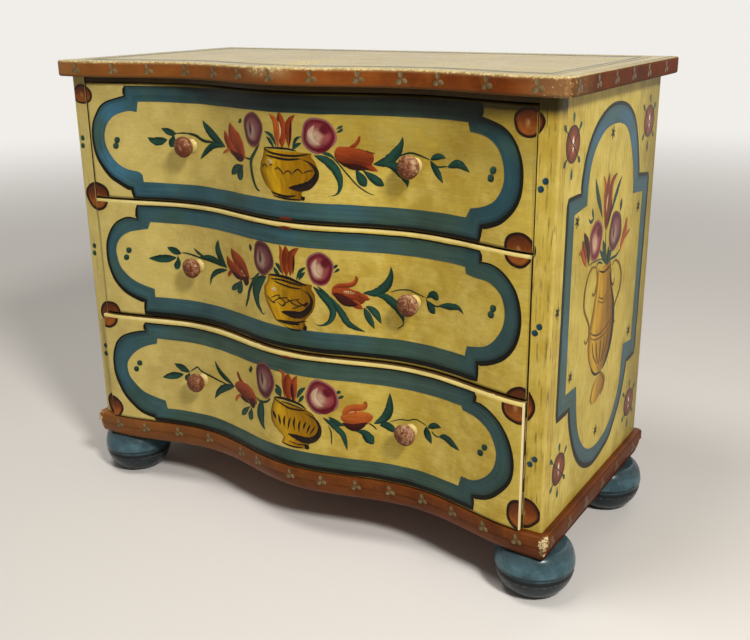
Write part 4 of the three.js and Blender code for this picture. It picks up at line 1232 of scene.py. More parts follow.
def band_tone(x, z, share):
    """Slate blue, lit bluer in the top drawer's left lobe and greyer between the lobes, with painted shade at
    the right and a nearly black painted shadow under the middle of the top.
    """
    tone = mixed(BAND, BAND_LIT, fade(x, -250, -300) * fade(z, 350, 420))
    under = fade(x, -290, -60)
    # Painted shade darkens the right of each band, and the top drawer's band close under the top
    tone = mixed(tone, BAND_SHADED, min(1, 0.5 * fade(x, 120, 300) + 0.8 * fade(z, 470, 510) * under))
    # The lowest band is grey-green throughout, the others only toward the right
    greyed = 0.25 + 0.6 * max(fade(x, 60, 200), fade(z, 210, 190))
    greyed = max(greyed * fade(abs(x), 290, 200), 0.45 * fade(z, 380, 330) * fade(x, -340, -260))
    tone = mixed(tone, BAND_RUN, greyed)
    # The outer edge darkens toward the black outline, and a nearly black painted shadow lies under the middle
    # of the top
    return mixed(tone, BAND_LINE, min(1, 0.6 * fade(share, 0.3, 0) + 0.85 * fade(z, 488, 512) * under))


def front_span(k, above, below):
    """The part of a drawer front that is painted, so many mm inside its rounded edges."""
    low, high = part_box(f"drawer_{k}_front")
    return low.x / MM + 1, high.x / MM - 1, (low.z - datum) / MM + above, (high.z - datum) / MM - below


for k, (outer, inner) in BANDS.items():
    random.seed(k)
    outer = panel_outline(*outer)
    band = joined(
        f"drawer_{k}_painted_band",
        [ring(BAND_LINE, outset(outer, 2, 6), outset(outer, -LINE_LAP, -LINE_LAP), 3, k)],
        [ring(band_tone, outer, panel_outline(*inner), 9, k)])
    laid(band, on_drawer(k), f"drawer_{k}", band_paint, "blue_paint", front_span(k, 0.8, 3))

# The vases: the two sides of each, from the rim down, as (x, height, x, height)
VASES = {
    1: [(-29, 459, 42, 457), (-31, 450, 41, 453), (-36, 441, 46, 447), (-38, 431, 50, 437),
        (-34, 421, 50, 428), (-28, 413, 43, 420), (-19, 407, 29, 411), (-17, 402, 26, 406),
        (-12, 400, 30, 400)],
    2: [(-30, 297, 38, 292), (-32, 288, 37, 286), (-39, 279, 41, 280), (-39, 268, 42, 272),
        (-36, 259, 41, 264), (-31, 251, 37, 255), (-25, 243, 30, 247), (-22, 238, 25, 242),
        (-16, 235, 29, 234), (-1, 230, 26, 230)],
    3: [(-23, 129, 30, 122), (-28, 117, 38, 118), (-31, 106, 45, 108), (-30, 95, 49, 99),
        (-24, 87, 46, 89), (-15, 81, 36, 80), (-8, 76, 27, 74), (-13, 68, 25, 70), (-7, 66, 28, 65)],
}
# The roses: middle, radii, and whether dark in the heart
ROSES = {
    1: [((-48, 481), (17.5, 22), False), ((51, 479), (22.5, 21.5), True)],
    2: [((-39, 317), (18.5, 23), False), ((49, 314), (18, 22), True)],
    3: [((-40, 150), (17.5, 26), False), ((51, 143), (23, 24), True)],
}
# The brush strokes in the order of painting: tone, shape, width and the places that the brush passed
LEAVES = {
    1: [
        ("teal", "leaf", 11.5, [(-214, 455), (-232, 452), (-244, 457)]),
        ("teal", "leaf", 9.4, [(-199, 463), (-212, 466), (-222, 470)]),
        ("teal", "drop", 11.2, [(-203, 464), (-205, 455), (-210, 445)]),
        ("stem", "stem", 1.9, [(-200, 464), (-187, 465), (-176, 465)]),
        ("stem", "stem", 4.3, [(-181, 465), (-166, 463), (-151, 457), (-131, 457)]),
        ("teal", "leaf", 13.0, [(-151, 484), (-144, 475), (-128, 463), (-107, 453)]),
        ("teal", "leaf", 8.6, [(-160, 432), (-144, 446), (-129, 453), (-107, 453)]),
        ("teal", "drop", 10.7, [(-71, 434), (-84, 429), (-97, 419)]),
        ("teal", "drop", 13.0, [(-71, 434), (-77, 424), (-81, 413)]),
        ("stem", "stem", 5.1, [(-37, 464), (-46, 453), (-53, 444), (-55, 434), (-52, 418), (-46, 407),
                               (-40, 404)]),
        ("stem", "stem", 2.6, [(-66, 444), (-57, 443), (-51, 447)]),
        ("teal", "leaf", 4.8, [(-27, 480), (-15, 475), (-8, 462)]),
        ("teal", "leaf", 5.2, [(-24, 474), (-18, 469), (-12, 461)]),
        ("teal", "leaf", 4.2, [(29, 477), (21, 473), (16, 460)]),
        ("teal", "leaf", 4.5, [(29, 469), (22, 466), (16, 460)]),
        ("teal", "drop", 3.2, [(73, 486), (77, 489), (82, 491)]),
        ("teal", "drop", 3.7, [(73, 483), (78, 485), (82, 488)]),
        ("teal", "tail", 10.7, [(45, 455), (61, 449), (72, 438), (77, 424), (76, 414), (71, 408),
                                (62, 406)]),
        ("teal", "leaf", 4.4, [(55, 458), (63, 457), (71, 453)]),
        ("stem", "leaf", 5.4, [(-76, 487), (-72, 490), (-71, 493)]),
        ("stem", "stem", 2.0, [(59, 458), (71, 451), (85, 435), (98, 421), (110, 413), (119, 410)]),
        ("teal", "leaf", 13.0, [(118, 447), (134, 451), (146, 461), (153, 472), (155, 481)]),
        ("teal", "leaf", 12.6, [(131, 447), (144, 446), (155, 437), (160, 429), (161, 422)]),
        ("teal", "drop", 12.3, [(96, 442), (101, 432), (109, 420)]),
        ("teal", "drop", 11.1, [(103, 441), (115, 432), (131, 422)]),
        ("stem", "stem", 2.3, [(141, 454), (154, 460), (166, 463), (177, 461), (191, 457)]),
        ("teal", "leaf", 7.6, [(192, 457), (203, 462), (214, 461)]),
        ("teal", "leaf", 8.9, [(192, 456), (199, 447), (210, 432)]),
        ("stem", "stem", 2.1, [(192, 455), (202, 450), (216, 452)]),
        ("teal", "leaf", 9.6, [(216, 451), (229, 456), (237, 455), (248, 449)]),
    ],
    2: [
        ("teal", "leaf", 11.6, [(-212, 290), (-234, 287), (-256, 286)]),
        ("teal", "leaf", 10.5, [(-204, 297), (-215, 300), (-226, 304)]),
        ("teal", "drop", 10.3, [(-210, 294), (-210, 284), (-215, 273)]),
        ("stem", "stem", 2.4, [(-204, 298), (-193, 298), (-180, 296), (-165, 293)]),
        ("teal", "leaf", 10.1, [(-174, 295), (-152, 296), (-134, 293), (-117, 289)]),
        ("teal", "leaf", 4.3, [(-182, 307), (-174, 301), (-161, 296)]),
        ("teal", "leaf", 12.1, [(-133, 325), (-135, 312), (-129, 299), (-117, 288)]),
        ("teal", "leaf", 7.3, [(-117, 286), (-138, 280), (-151, 270), (-155, 257)]),
        ("teal", "drop", 8.3, [(-86, 279), (-96, 269), (-110, 260)]),
        ("teal", "drop", 10.3, [(-86, 279), (-88, 269), (-96, 258)]),
        ("teal", "tail", 13.9, [(-34, 293), (-49, 283), (-56, 268), (-54, 253), (-48, 244), (-43, 240),
                                (-38, 244)]),
        ("stem", "stem", 5.0, [(-48, 295), (-62, 280), (-70, 267), (-74, 255), (-80, 242)]),
        ("stem", "stem", 2.2, [(-66, 284), (-60, 286), (-48, 296)]),
        ("stem", "leaf", 5.8, [(-64, 332), (-63, 327), (-63, 322)]),
        ("teal", "leaf", 6.3, [(-17, 314), (-11, 310), (-7, 302)]),
        ("teal", "leaf", 6.2, [(-20, 308), (-16, 303), (-10, 300)]),
        ("teal", "leaf", 5.2, [(30, 314), (22, 308), (16, 296)]),
        ("teal", "leaf", 4.7, [(29, 308), (24, 303), (19, 296)]),
        ("teal", "drop", 3.7, [(65, 314), (69, 318), (73, 321)]),
        ("teal", "drop", 3.7, [(67, 310), (71, 313), (75, 316)]),
        ("teal", "tail", 9.7, [(39, 290), (49, 282), (60, 271), (65, 260), (62, 248), (54, 241), (45, 239),
                               (38, 243)]),
        ("stem", "stem", 2.8, [(45, 291), (56, 283), (66, 273)]),
        ("teal", "leaf", 9.5, [(63, 278), (75, 260), (86, 244), (106, 236)]),
        ("teal", "leaf", 11.8, [(104, 287), (121, 289), (134, 299), (140, 312), (140, 324)]),
        ("teal", "leaf", 11.8, [(121, 285), (133, 284), (147, 274), (155, 261), (156, 253)]),
        ("stem", "stem", 1.5, [(155, 259), (156, 251), (148, 245)]),
        ("teal", "leaf", 9.5, [(105, 268), (110, 257), (118, 241)]),
        ("teal", "leaf", 9.6, [(107, 270), (118, 264), (127, 249)]),
        ("stem", "stem", 1.7, [(139, 291), (149, 295), (164, 297), (176, 294), (187, 291)]),
        ("teal", "drop", 10.6, [(188, 290), (198, 297), (206, 291)]),
        ("teal", "drop", 10.7, [(188, 290), (194, 281), (201, 273)]),
        ("stem", "stem", 2.1, [(192, 287), (201, 283), (209, 284)]),
        ("teal", "leaf", 8.4, [(206, 284), (224, 287), (236, 288), (244, 282)]),
    ],
    3: [
        ("teal", "leaf", 11.1, [(-209, 117), (-225, 113), (-244, 108)]),
        ("teal", "leaf", 11.0, [(-198, 122), (-211, 127), (-223, 132)]),
        ("teal", "drop", 8.7, [(-198, 122), (-200, 117), (-206, 108)]),
        ("stem", "stem", 3.0, [(-197, 123), (-189, 129), (-183, 132), (-176, 127), (-159, 123),
                               (-140, 120), (-125, 119)]),
        ("teal", "leaf", 8.6, [(-148, 149), (-143, 139), (-132, 130), (-108, 121)]),
        ("teal", "leaf", 11.1, [(-108, 121), (-129, 113), (-145, 102), (-154, 89)]),
        ("teal", "drop", 8.4, [(-73, 102), (-84, 93), (-95, 82)]),
        ("teal", "drop", 11.2, [(-72, 102), (-72, 93), (-77, 81)]),
        ("stem", "leaf", 5.9, [(-69, 162), (-67, 160), (-65, 157)]),
        ("stem", "leaf", 5.6, [(-73, 157), (-70, 156), (-66, 155)]),
        ("teal", "leaf", 14.7, [(-47, 119), (-50, 107), (-52, 95), (-49, 83), (-44, 76)]),
        ("teal", "stem", 3.6, [(-59, 120), (-51, 116), (-39, 119), (-30, 126)]),
        ("teal", "leaf", 7.9, [(-20, 149), (-14, 144), (-11, 133)]),
        ("teal", "leaf", 7.0, [(-21, 143), (-16, 138), (-13, 134)]),
        ("teal", "leaf", 5.9, [(29, 154), (21, 147), (15, 136)]),
        ("teal", "leaf", 5.1, [(26, 142), (22, 137), (17, 131)]),
        ("teal", "drop", 4.5, [(70, 150), (74, 153), (77, 155)]),
        ("teal", "drop", 4.4, [(71, 144), (76, 146), (81, 149)]),
        ("teal", "leaf", 8.6, [(52, 115), (67, 105), (79, 93), (84, 72)]),
        ("stem", "stem", 1.9, [(59, 105), (63, 95), (63, 77)]),
        ("teal", "leaf", 7.9, [(60, 117), (70, 110), (81, 107)]),
        ("teal", "leaf", 11.9, [(120, 115), (134, 125), (141, 139), (142, 161)]),
        ("teal", "leaf", 11.9, [(128, 114), (139, 115), (151, 107)]),
        ("teal", "drop", 14.5, [(95, 101), (107, 100), (119, 86)]),
        ("stem", "stem", 1.5, [(141, 121), (156, 127), (167, 128), (178, 132), (187, 130), (195, 127)]),
        ("teal", "leaf", 8.1, [(196, 125), (207, 131), (217, 131)]),
        ("teal", "leaf", 10.8, [(194, 126), (196, 115), (202, 105)]),
        ("stem", "stem", 2.3, [(202, 122), (207, 118), (214, 117)]),
        ("teal", "leaf", 10.1, [(213, 118), (224, 120), (233, 116), (246, 110)]),
    ],
}
PETALS = {
    1: [
        ("red", "leaf", 15.7, [(-107, 474), (-102, 463), (-89, 451), (-71, 439)]),
        ("red", "leaf", 20.9, [(-95, 485), (-90, 472), (-78, 459), (-66, 442)]),
        ("maroon", "drop", 11.1, [(-95, 450), (-82, 444), (-69, 441)]),
        ("orange", "stem", 3.4, [(-97, 452), (-106, 448), (-113, 444)]),
        ("orange", "leaf", 9.0, [(-18, 502), (-9, 495), (-7, 484), (-5, 461)]),
        ("red", "leaf", 16.0, [(-2, 505), (0, 490), (1, 475), (1, 461)]),
        ("red", "leaf", 10.0, [(21, 502), (13, 494), (11, 480), (11, 462)]),
        ("maroon", "leaf", 3.5, [(15, 497), (14, 483), (13, 472), (11, 463)]),
        ("pale", "leaf", 2.4, [(-3, 494), (-1, 484), (-2, 473)]),
        ("red", "blunt", 19.0, [(71, 460), (86, 457), (101, 455), (119, 453)]),
        ("red", "leaf", 10.9, [(89, 454), (107, 446), (124, 439)]),
        ("red", "stem", 4.9, [(86, 463), (96, 469), (100, 474), (102, 480)]),
        ("maroon", "leaf", 11.4, [(71, 454), (83, 449), (97, 444), (113, 441)]),
        ("pale", "leaf", 4.0, [(95, 461), (101, 460), (108, 459)]),
        ("maroon", "stem", 1.4, [(98, 465), (110, 462), (121, 460)]),
    ],
    2: [
        ("red", "leaf", 19.3, [(-106, 318), (-98, 308), (-83, 298), (-68, 283)]),
        ("red", "leaf", 16.2, [(-116, 306), (-109, 295), (-93, 287), (-77, 281)]),
        ("red", "drop", 6.0, [(-98, 287), (-110, 284), (-116, 277)]),
        ("maroon", "drop", 14.2, [(-85, 283), (-78, 280), (-70, 278)]),
        ("maroon", "leaf", 7.2, [(-108, 287), (-97, 282), (-82, 279)]),
        ("pale", "leaf", 5.3, [(-101, 296), (-91, 293), (-82, 289)]),
        ("orange", "leaf", 8.5, [(-9, 339), (-6, 332), (-5, 317), (-5, 299)]),
        ("red", "leaf", 15.0, [(1, 339), (2, 324), (1, 311), (1, 299)]),
        ("red", "leaf", 10.5, [(21, 338), (11, 330), (9, 319), (7, 300)]),
        ("maroon", "leaf", 3.3, [(13, 329), (13, 319), (12, 311), (11, 302)]),
        ("red", "blunt", 16.3, [(64, 288), (74, 286), (89, 282), (107, 278)]),
        ("red", "stem", 6.7, [(66, 290), (73, 294), (83, 295), (92, 298), (96, 304), (95, 308)]),
        ("red", "leaf", 10.0, [(87, 276), (95, 271), (104, 266)]),
        ("red", "leaf", 8.7, [(97, 284), (106, 281), (113, 279)]),
        ("maroon", "leaf", 12.6, [(66, 284), (75, 279), (85, 273), (98, 271)]),
        ("pale", "leaf", 4.8, [(79, 287), (88, 286), (96, 286)]),
    ],
    3: [
        ("red", "stem", 6.7, [(-99, 146), (-95, 137), (-87, 132)]),
        ("red", "fat", 23.9, [(-107, 123), (-90, 123), (-73, 119), (-59, 110)]),
        ("maroon", "drop", 15.6, [(-78, 112), (-71, 109), (-62, 109)]),
        ("maroon", "leaf", 6.6, [(-97, 111), (-88, 109), (-75, 106)]),
        ("orange", "stem", 4.9, [(-94, 113), (-103, 106), (-107, 99)]),
        ("pale", "leaf", 5.7, [(-93, 122), (-85, 119), (-76, 116)]),
        ("orange", "leaf", 8.5, [(-13, 172), (-5, 167), (-4, 153), (-4, 131)]),
        ("red", "leaf", 17.5, [(3, 169), (2, 155), (2, 142), (3, 130)]),
        ("red", "leaf", 10.5, [(17, 168), (13, 161), (11, 150), (11, 130)]),
        ("maroon", "leaf", 5.4, [(9, 156), (8, 147), (9, 139), (9, 131)]),
        ("pale", "leaf", 3.2, [(-2, 153), (-3, 147), (-2, 140)]),
        ("orange", "fat", 20.6, [(76, 119), (89, 118), (102, 120), (119, 125)]),
        ("orange", "stem", 9.6, [(79, 123), (87, 132), (100, 135), (108, 138), (109, 145)]),
        ("maroon", "leaf", 10.2, [(78, 111), (92, 106), (103, 110), (112, 116)]),
        ("maroon", "stem", 1.9, [(113, 115), (119, 112), (124, 107)]),
        ("pale", "leaf", 6.8, [(87, 126), (95, 128), (102, 129)]),
    ],
}
VASE_LINES = {
    1: [
        ("black", "stem", 2.4, [(-29, 460), (-9, 461), (9, 461), (22, 459)]),
        ("black", "stem", 3.0, [(-29, 459), (-19, 455), (0, 453), (19, 453), (38, 456)]),
        ("black", "stem", 2.9, [(-26, 451), (-9, 449), (9, 448), (27, 450)]),
        ("black", "comma", 8.0, [(26, 450), (38, 446), (46, 439), (48, 432), (42, 422), (29, 415), (8, 413)]),
        ("black", "stem", 1.5, [(-33, 435), (-29, 440), (-24, 435)]),
        ("black", "stem", 1.3, [(-21, 438), (-18, 440), (-15, 439)]),
        ("black", "stem", 1.7, [(-12, 434), (-7, 437), (-1, 432), (1, 428)]),
        ("black", "stem", 1.7, [(2, 430), (7, 434), (11, 433), (15, 429)]),
        ("black", "stem", 1.7, [(15, 431), (22, 437), (27, 434), (29, 431)]),
        ("black", "stem", 1.4, [(30, 432), (35, 435), (40, 436), (44, 436)]),
        ("black", "stem", 3.1, [(-20, 406), (-7, 403), (6, 402), (19, 404)]),
        ("black", "stem", 2.2, [(-16, 401), (4, 399), (23, 399), (30, 400)]),
        ("black", "drop", 6.0, [(26, 404), (29, 401), (31, 400)]),
        ("pale", "drop", 6.6, [(-24, 446), (-20, 444), (-16, 441)]),
    ],
    2: [
        ("black", "stem", 4.0, [(-29, 297), (-13, 298), (4, 297), (19, 293), (31, 290)]),
        ("black", "stem", 2.7, [(-26, 292), (-8, 293), (9, 291), (25, 289)]),
        ("black", "stem", 2.4, [(-21, 290), (-6, 287), (8, 285), (23, 285)]),
        ("black", "comma", 7.8, [(22, 284), (32, 280), (37, 271), (33, 260), (23, 251), (11, 249),
                                 (-10, 250)]),
        ("black", "stem", 2.0, [(-34, 268), (-27, 262), (-19, 260)]),
        ("black", "stem", 1.5, [(-27, 266), (-14, 272), (-11, 269), (-22, 262)]),
        ("black", "stem", 1.5, [(-25, 259), (-14, 267), (2, 271)]),
        ("black", "stem", 1.5, [(-16, 270), (-3, 264), (-7, 258), (-17, 263)]),
        ("black", "stem", 1.5, [(-8, 259), (5, 267), (21, 271)]),
        ("black", "stem", 1.8, [(-1, 270), (11, 263), (18, 262)]),
        ("black", "stem", 1.5, [(7, 256), (20, 262), (33, 269)]),
        ("black", "stem", 1.7, [(14, 270), (23, 264), (31, 262)]),
        ("maroon", "drop", 4.3, [(24, 264), (28, 265), (32, 267)]),
        ("black", "stem", 2.6, [(-20, 237), (-2, 238), (14, 239), (29, 243)]),
        ("black", "stem", 3.4, [(-16, 237), (0, 236), (19, 237)]),
        ("black", "stem", 2.1, [(0, 229), (12, 228), (22, 230)]),
        ("black", "drop", 5.9, [(24, 237), (27, 234), (24, 230)]),
        ("pale", "drop", 6.3, [(-26, 278), (-22, 278), (-17, 280)]),
    ],
    3: [
        ("black", "stem", 3.8, [(-23, 130), (-8, 132), (9, 131), (21, 128), (29, 123)]),
        ("black", "stem", 2.7, [(-22, 128), (-11, 124), (4, 120), (28, 121)]),
        ("black", "stem", 1.9, [(-11, 127), (7, 126), (24, 123)]),
        ("black", "comma", 7.5, [(25, 117), (40, 112), (47, 102), (46, 91), (39, 82), (27, 78), (13, 80),
                                 (-2, 82)]),
        ("black", "leaf", 4.6, [(-27, 110), (-24, 105), (-21, 98)]),
        ("black", "leaf", 3.8, [(-17, 107), (-15, 100), (-14, 91)]),
        ("black", "leaf", 3.3, [(-5, 108), (-7, 100), (-7, 91)]),
        ("black", "leaf", 2.7, [(5, 107), (2, 102), (-1, 88)]),
        ("black", "leaf", 2.9, [(11, 109), (9, 99), (10, 89)]),
        ("black", "leaf", 2.9, [(20, 106), (17, 98), (17, 88)]),
        ("black", "leaf", 2.9, [(28, 105), (25, 99), (24, 93)]),
        ("black", "leaf", 2.6, [(34, 102), (31, 95), (28, 88)]),
        ("black", "leaf", 2.2, [(41, 101), (37, 94), (32, 87)]),
        ("black", "stem", 2.3, [(-13, 67), (4, 65), (22, 66)]),
        ("black", "stem", 1.5, [(-1, 72), (15, 70), (32, 73)]),
        ("black", "drop", 7.4, [(23, 71), (28, 69), (28, 65)]),
    ],
}
STAINS = {
    1: [(-8, 373), (2, 374), (12, 373)],
    2: [(-9, 362), (2, 362.5), (13, 362)],
    3: [(-9, 191), (2, 191.5), (12, 191)],
}
DOTS = {
    1: [(-293, 444), (-290, 452), (278, 446), (281, 455)],
    2: [(-286, 296), (-291, 285), (284, 291), (287, 299)],
    3: [(-279, 127), (-285, 117), (284, 128), (278, 119)],
}


def vase(sides):
    """The body of a painted vase, ochre with a brown shade at its sides."""
    edge, face, lit = (linear(code) for code in ("#6a4202", "#986c03", "#c29512"))
    rows, columns = 28, 13

    def place(row, column):
        spot = row / (rows - 1) * (len(sides) - 1)
        k = min(int(spot), len(sides) - 2)
        across = mixed(sides[k], sides[k + 1], spot - k)
        share = column / (columns - 1)
        tone = mixed(face, edge, (share - 0.6) * 2)
        if share < 0.6:
            tone = mixed(lit, face, fade(share, 0.15, 0.55))
        tone = mixed(edge, tone, fade(share, 0, 0.14))
        return (*mixed(across[:2], across[2:], share), tone, row * 2, share * 18)

    return film("vase", rows, columns, place)


def rose(middle, radii, dark_heart):
    """A round rose, mauve or crimson, with a pale crescent, a shaded rim and a dark heart."""
    rim, deep, soft, pale = (linear(code) for code in (
        ("#8e625a", "#5e121e", "#86403e", "#bb9c7e") if dark_heart else
        ("#744a38", "#4a1e26", "#744244", "#9a836c")))
    # Middle of the shaded heart, and how much narrower it is than a round one
    heart, squeeze = ((0.38, 0.34), (1, 1.1)) if dark_heart else ((-0.28, 0.02), (2.2, 0.9))
    shares = [1, 0.93, 0.86, 0.77, 0.68, 0.58, 0.48, 0.38, 0.28, 0.18, 0.09, 0]

    def colors(x, y):
        far = math.hypot(x, y)
        if far > 0.9:
            return mixed(deep, rim, 0.75)
        tone = mixed(soft, deep, fade(far, 0.5, 0.82))
        lit = fade(math.hypot(x + 0.22, y + 0.12), 0.62, 0.2)
        tone = mixed(tone, pale, 0.85 * lit)
        near = math.hypot((x - heart[0]) * squeeze[0], (y - heart[1]) * squeeze[1])
        tone = mixed(tone, mixed(deep, (0, 0, 0, 1), 0.25), 0.95 * fade(near, 0.42, 0.2))
        return mixed(tone, deep, 0.8 * fade(math.atan2(-y, x) * far, 0.15, 0.75) * fade(far, 0.6, 0.8))

    return disc(middle, radii, colors, shares, 0.045, 48)


for k in (1, 2, 3):
    random.seed(40 + k)
    leaves = [stroke(*line) for line in LEAVES[k]] + [vase(VASES[k])]
    petals = [stroke(*line) for line in PETALS[k]]
    hearts = []
    for middle, radii, dark_heart in ROSES[k]:
        petals.append(rose(middle, radii, dark_heart))
        if dark_heart:
            x, z, a, b = *middle, *radii
            hearts.append(stroke("rose_pale", "leaf", 0.3 * a, [
                (x - 0.2 * a, z + 0.55 * b), (x - 0.48 * a, z + 0.1 * b), (x - 0.3 * a, z - 0.35 * b),
                (x + 0.1 * a, z - 0.5 * b)]))
            hearts.append(stroke("rose_deep", "stem", 0.08 * a, [
                (x + 0.3 * a, z + 0.45 * b), (x + 0.5 * a, z + 0.32 * b), (x + 0.42 * a, z + 0.18 * b),
                (x + 0.28 * a, z + 0.28 * b)]))
            hearts.append(stroke("rose_deep", "comma", 0.2 * a, [
                (x + 0.72 * a, z + 0.35 * b), (x + 0.82 * a, z - 0.1 * b), (x + 0.6 * a, z - 0.6 * b),
                (x + 0.1 * a, z - 0.85 * b), (x - 0.3 * a, z - 0.75 * b)]))
    lines = hearts + [stroke(*line) for line in VASE_LINES[k]]
    for x, z in DOTS[k]:
        leaves.append(stroke("dots", "fat", 8.6, [(x - 3.6, z - 3.4), (x, z), (x + 3.6, z + 3.4)]))
    lines.append(stroke("patch", "fat", 4, STAINS[k]))
    flowers = joined(f"drawer_{k}_painted_flowers", leaves, petals, lines)
    laid(flowers, on_drawer(k), f"drawer_{k}", flower_paint, "red_paint")

# The red discs lie across the joints, so each is cut where the drawer it was painted over now moves.
# Middle and radii of each, across and up
DISCS = [
    ((-343, 512.5), (18.5, 13.5)), ((-333, 371), (22, 20.5)), ((-329, 196), (21, 19.5)),
    ((-335, 49), (20, 19)), ((324.5, 510), (18.5, 16)), ((318, 372), (20, 20)),
    ((326, 192), (19.5, 21.5)), ((337, 56), (20, 20))]
STILE_DOTS = [(-351, 452), (-352, 441), (-350, 296), (-351, 285), (-348, 142), (-349, 129),
              (341, 441), (346, 450), (341, 280.5), (346, 288.5), (341.5, 120), (347, 127.5)]


def disc_colors(x, y):
    """Brick red with a brown rim, darker above as painted shade and lighter below as painted light, and a
    pale smear in the middle.
    """
    brown, brick, deep, lit, smear = (linear(code) for code in (
        "#24100a", "#6e3310", "#42200a", "#8a4c1a", "#a47844"))
    far = math.hypot(x, y)
    tone = mixed(brick, lit, fade(-y, -0.2, 0.55))
    tone = mixed(tone, deep, 0.7 * fade(y, -0.1, 0.7))
    tone = mixed(tone, smear, 0.75 * fade(math.hypot(1.8 * x + 0.1, y + 0.05), 0.36, 0.1))
    return mixed(tone, brown, fade(far, 0.74, 0.87))


random.seed(7)
disc_shares = [1, 0.93, 0.88, 0.83, 0.78, 0.7, 0.6, 0.5, 0.4, 0.3, 0.2, 0.1, 0]
all_discs = joined("painted_discs", [
    disc(spot, radii, disc_colors, disc_shares) for spot, radii in DISCS])
for k in (1, 2, 3):
    laid(copied(all_discs, f"drawer_{k}_painted_discs"), on_drawer(k), f"drawer_{k}", disc_paint,
         "red_paint", front_span(k, 1.2, 3.5))
STILE_INNER = 336.6                     # mm from the middle to where a stile comes out behind the fronts
for side_name, side in (("right", 1), ("left", -1)):
    low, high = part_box(f"stile_{side_name}")
    near, far = sorted((side * STILE_INNER, side * (outer_face - STILE_ARRIS) / MM))
    laid(copied(all_discs, f"stile_{side_name}_painted_discs"), on_stile, "carcase", disc_paint,
         "red_paint", (near, far, (low.z - datum) / MM, (high.z - datum) / MM))
bpy.data.objects.remove(all_discs)

stile_dots = [
    stroke("blue" if x > 0 else "dots", "fat", 7.6, [(x - 1.6, z - 3.6), (x, z), (x + 1.6, z + 3.6)])
    for x, z in STILE_DOTS]
laid(joined("stile_painted_dots", stile_dots), on_stile, "carcase", flower_paint, "blue_paint")

# Painted panel of each side.
# A tall blue band with round ends frames a handled vase of tulips and roses, with a ringed oval in each
# corner of the board and small black stars. The left side has the same, turned about.
# Outer and inner outline of its band, (place from the corner, height): the lower end, then the upper one
SIDE_BAND = (
    ([(31, 170), (69, 170), (76, 143), (87, 117), (103, 93), (126, 73), (155, 61), (178, 61), (201, 66),
      (224, 74), (244, 95), (260, 117), (272, 147), (276, 164), (309, 166)],
     [(34, 423), (72, 423), (76, 445), (85, 467), (101, 488), (125, 503), (152, 511), (180, 513),
      (209, 508), (234, 496), (250, 478), (262, 453), (269, 431), (274, 414), (315, 409)]),
    ([(53, 191), (88, 190), (93, 155), (102, 127), (117, 104), (137, 88), (160, 80), (186, 80), (213, 88),
      (235, 105), (252, 136), (257, 173), (260, 191), (294, 187)],
     [(52, 405), (91, 409), (93, 439), (103, 463), (122, 480), (146, 490), (173, 492), (199, 489),
      (219, 480), (234, 463), (248, 436), (253, 417), (257, 395), (296, 392)]))
SIDE_VASE = [
    (142, 322, 189, 322), (141, 312, 187, 312), (141, 300, 190, 300), (138, 290, 195, 290),
    (134, 280, 202, 280), (130, 268, 206, 268), (125, 254, 209, 254), (121, 240, 210, 240),
    (121, 226, 208, 226), (125, 212, 203, 212), (133, 200, 195, 200), (143, 190, 185, 190),
    (155, 183, 174, 183)]
SIDE_FOOT = [
    (163, 178, 176, 178), (154, 173, 186, 173), (146, 166, 190, 166), (141, 158, 187, 158),
    (140, 151, 179, 151), (146, 145, 168, 145), (152, 143, 161, 143)]
SIDE_LEAVES = [
    ("teal", "leaf", 9.5, [(115, 436), (125, 416), (135, 402), (146, 384)]),
    ("teal", "leaf", 8.5, [(209, 425), (193, 408), (183, 394), (174, 382)]),
    ("teal", "leaf", 10.6, [(153, 356), (161, 339), (169, 323)]),
    ("teal", "leaf", 7.2, [(143, 346), (156, 335), (171, 321)]),
    ("teal", "leaf", 11.6, [(186, 339), (179, 330), (171, 320)]),
    ("teal", "leaf", 9.0, [(175, 344), (174, 333), (170, 324)]),
    ("stem", "stem", 1.7, [(107, 335), (128, 335), (150, 333), (167, 325)]),
    ("stem", "stem", 3.7, [(220, 330), (206, 325), (186, 325), (175, 319)]),
    ("stem", "stem", 2.8, [(161, 365), (162, 358), (164, 345), (166, 330)]),
    ("teal", "stem", 2.7, [(135, 327), (142, 331), (156, 326)]),
    ("teal", "drop", 4.9, [(98, 393), (106, 387), (116, 389)]),
    ("teal", "leaf", 5.1, [(109, 403), (112, 396), (116, 388)]),
    ("teal", "leaf", 8.2, [(213, 396), (212, 387), (210, 380)]),
]
SIDE_PETALS = [
    ("orange", "leaf", 9.5, [(142, 435), (151, 421), (152, 399), (160, 366)]),
    ("rust", "leaf", 16.5, [(163, 436), (160, 419), (161, 392), (160, 366)]),
    ("rust", "leaf", 11.5, [(191, 431), (174, 422), (169, 398), (163, 365)]),
    ("pale", "leaf", 4.5, [(161, 411), (158, 401), (158, 389)]),
    ("maroon", "leaf", 7.8, [(176, 403), (173, 387), (163, 368)]),
    ("maroon", "leaf", 13.6, [(87, 378), (98, 362), (105, 347), (106, 335)]),
    ("rust", "leaf", 11.0, [(83, 370), (91, 353), (99, 335)]),
    ("orange", "stem", 6.7, [(73, 355), (81, 357), (88, 348), (98, 337)]),
    ("orange", "leaf", 14.3, [(239, 368), (235, 352), (224, 337), (221, 327)]),
    ("orange", "stem", 4.6, [(254, 349), (242, 345), (229, 340)]),
]
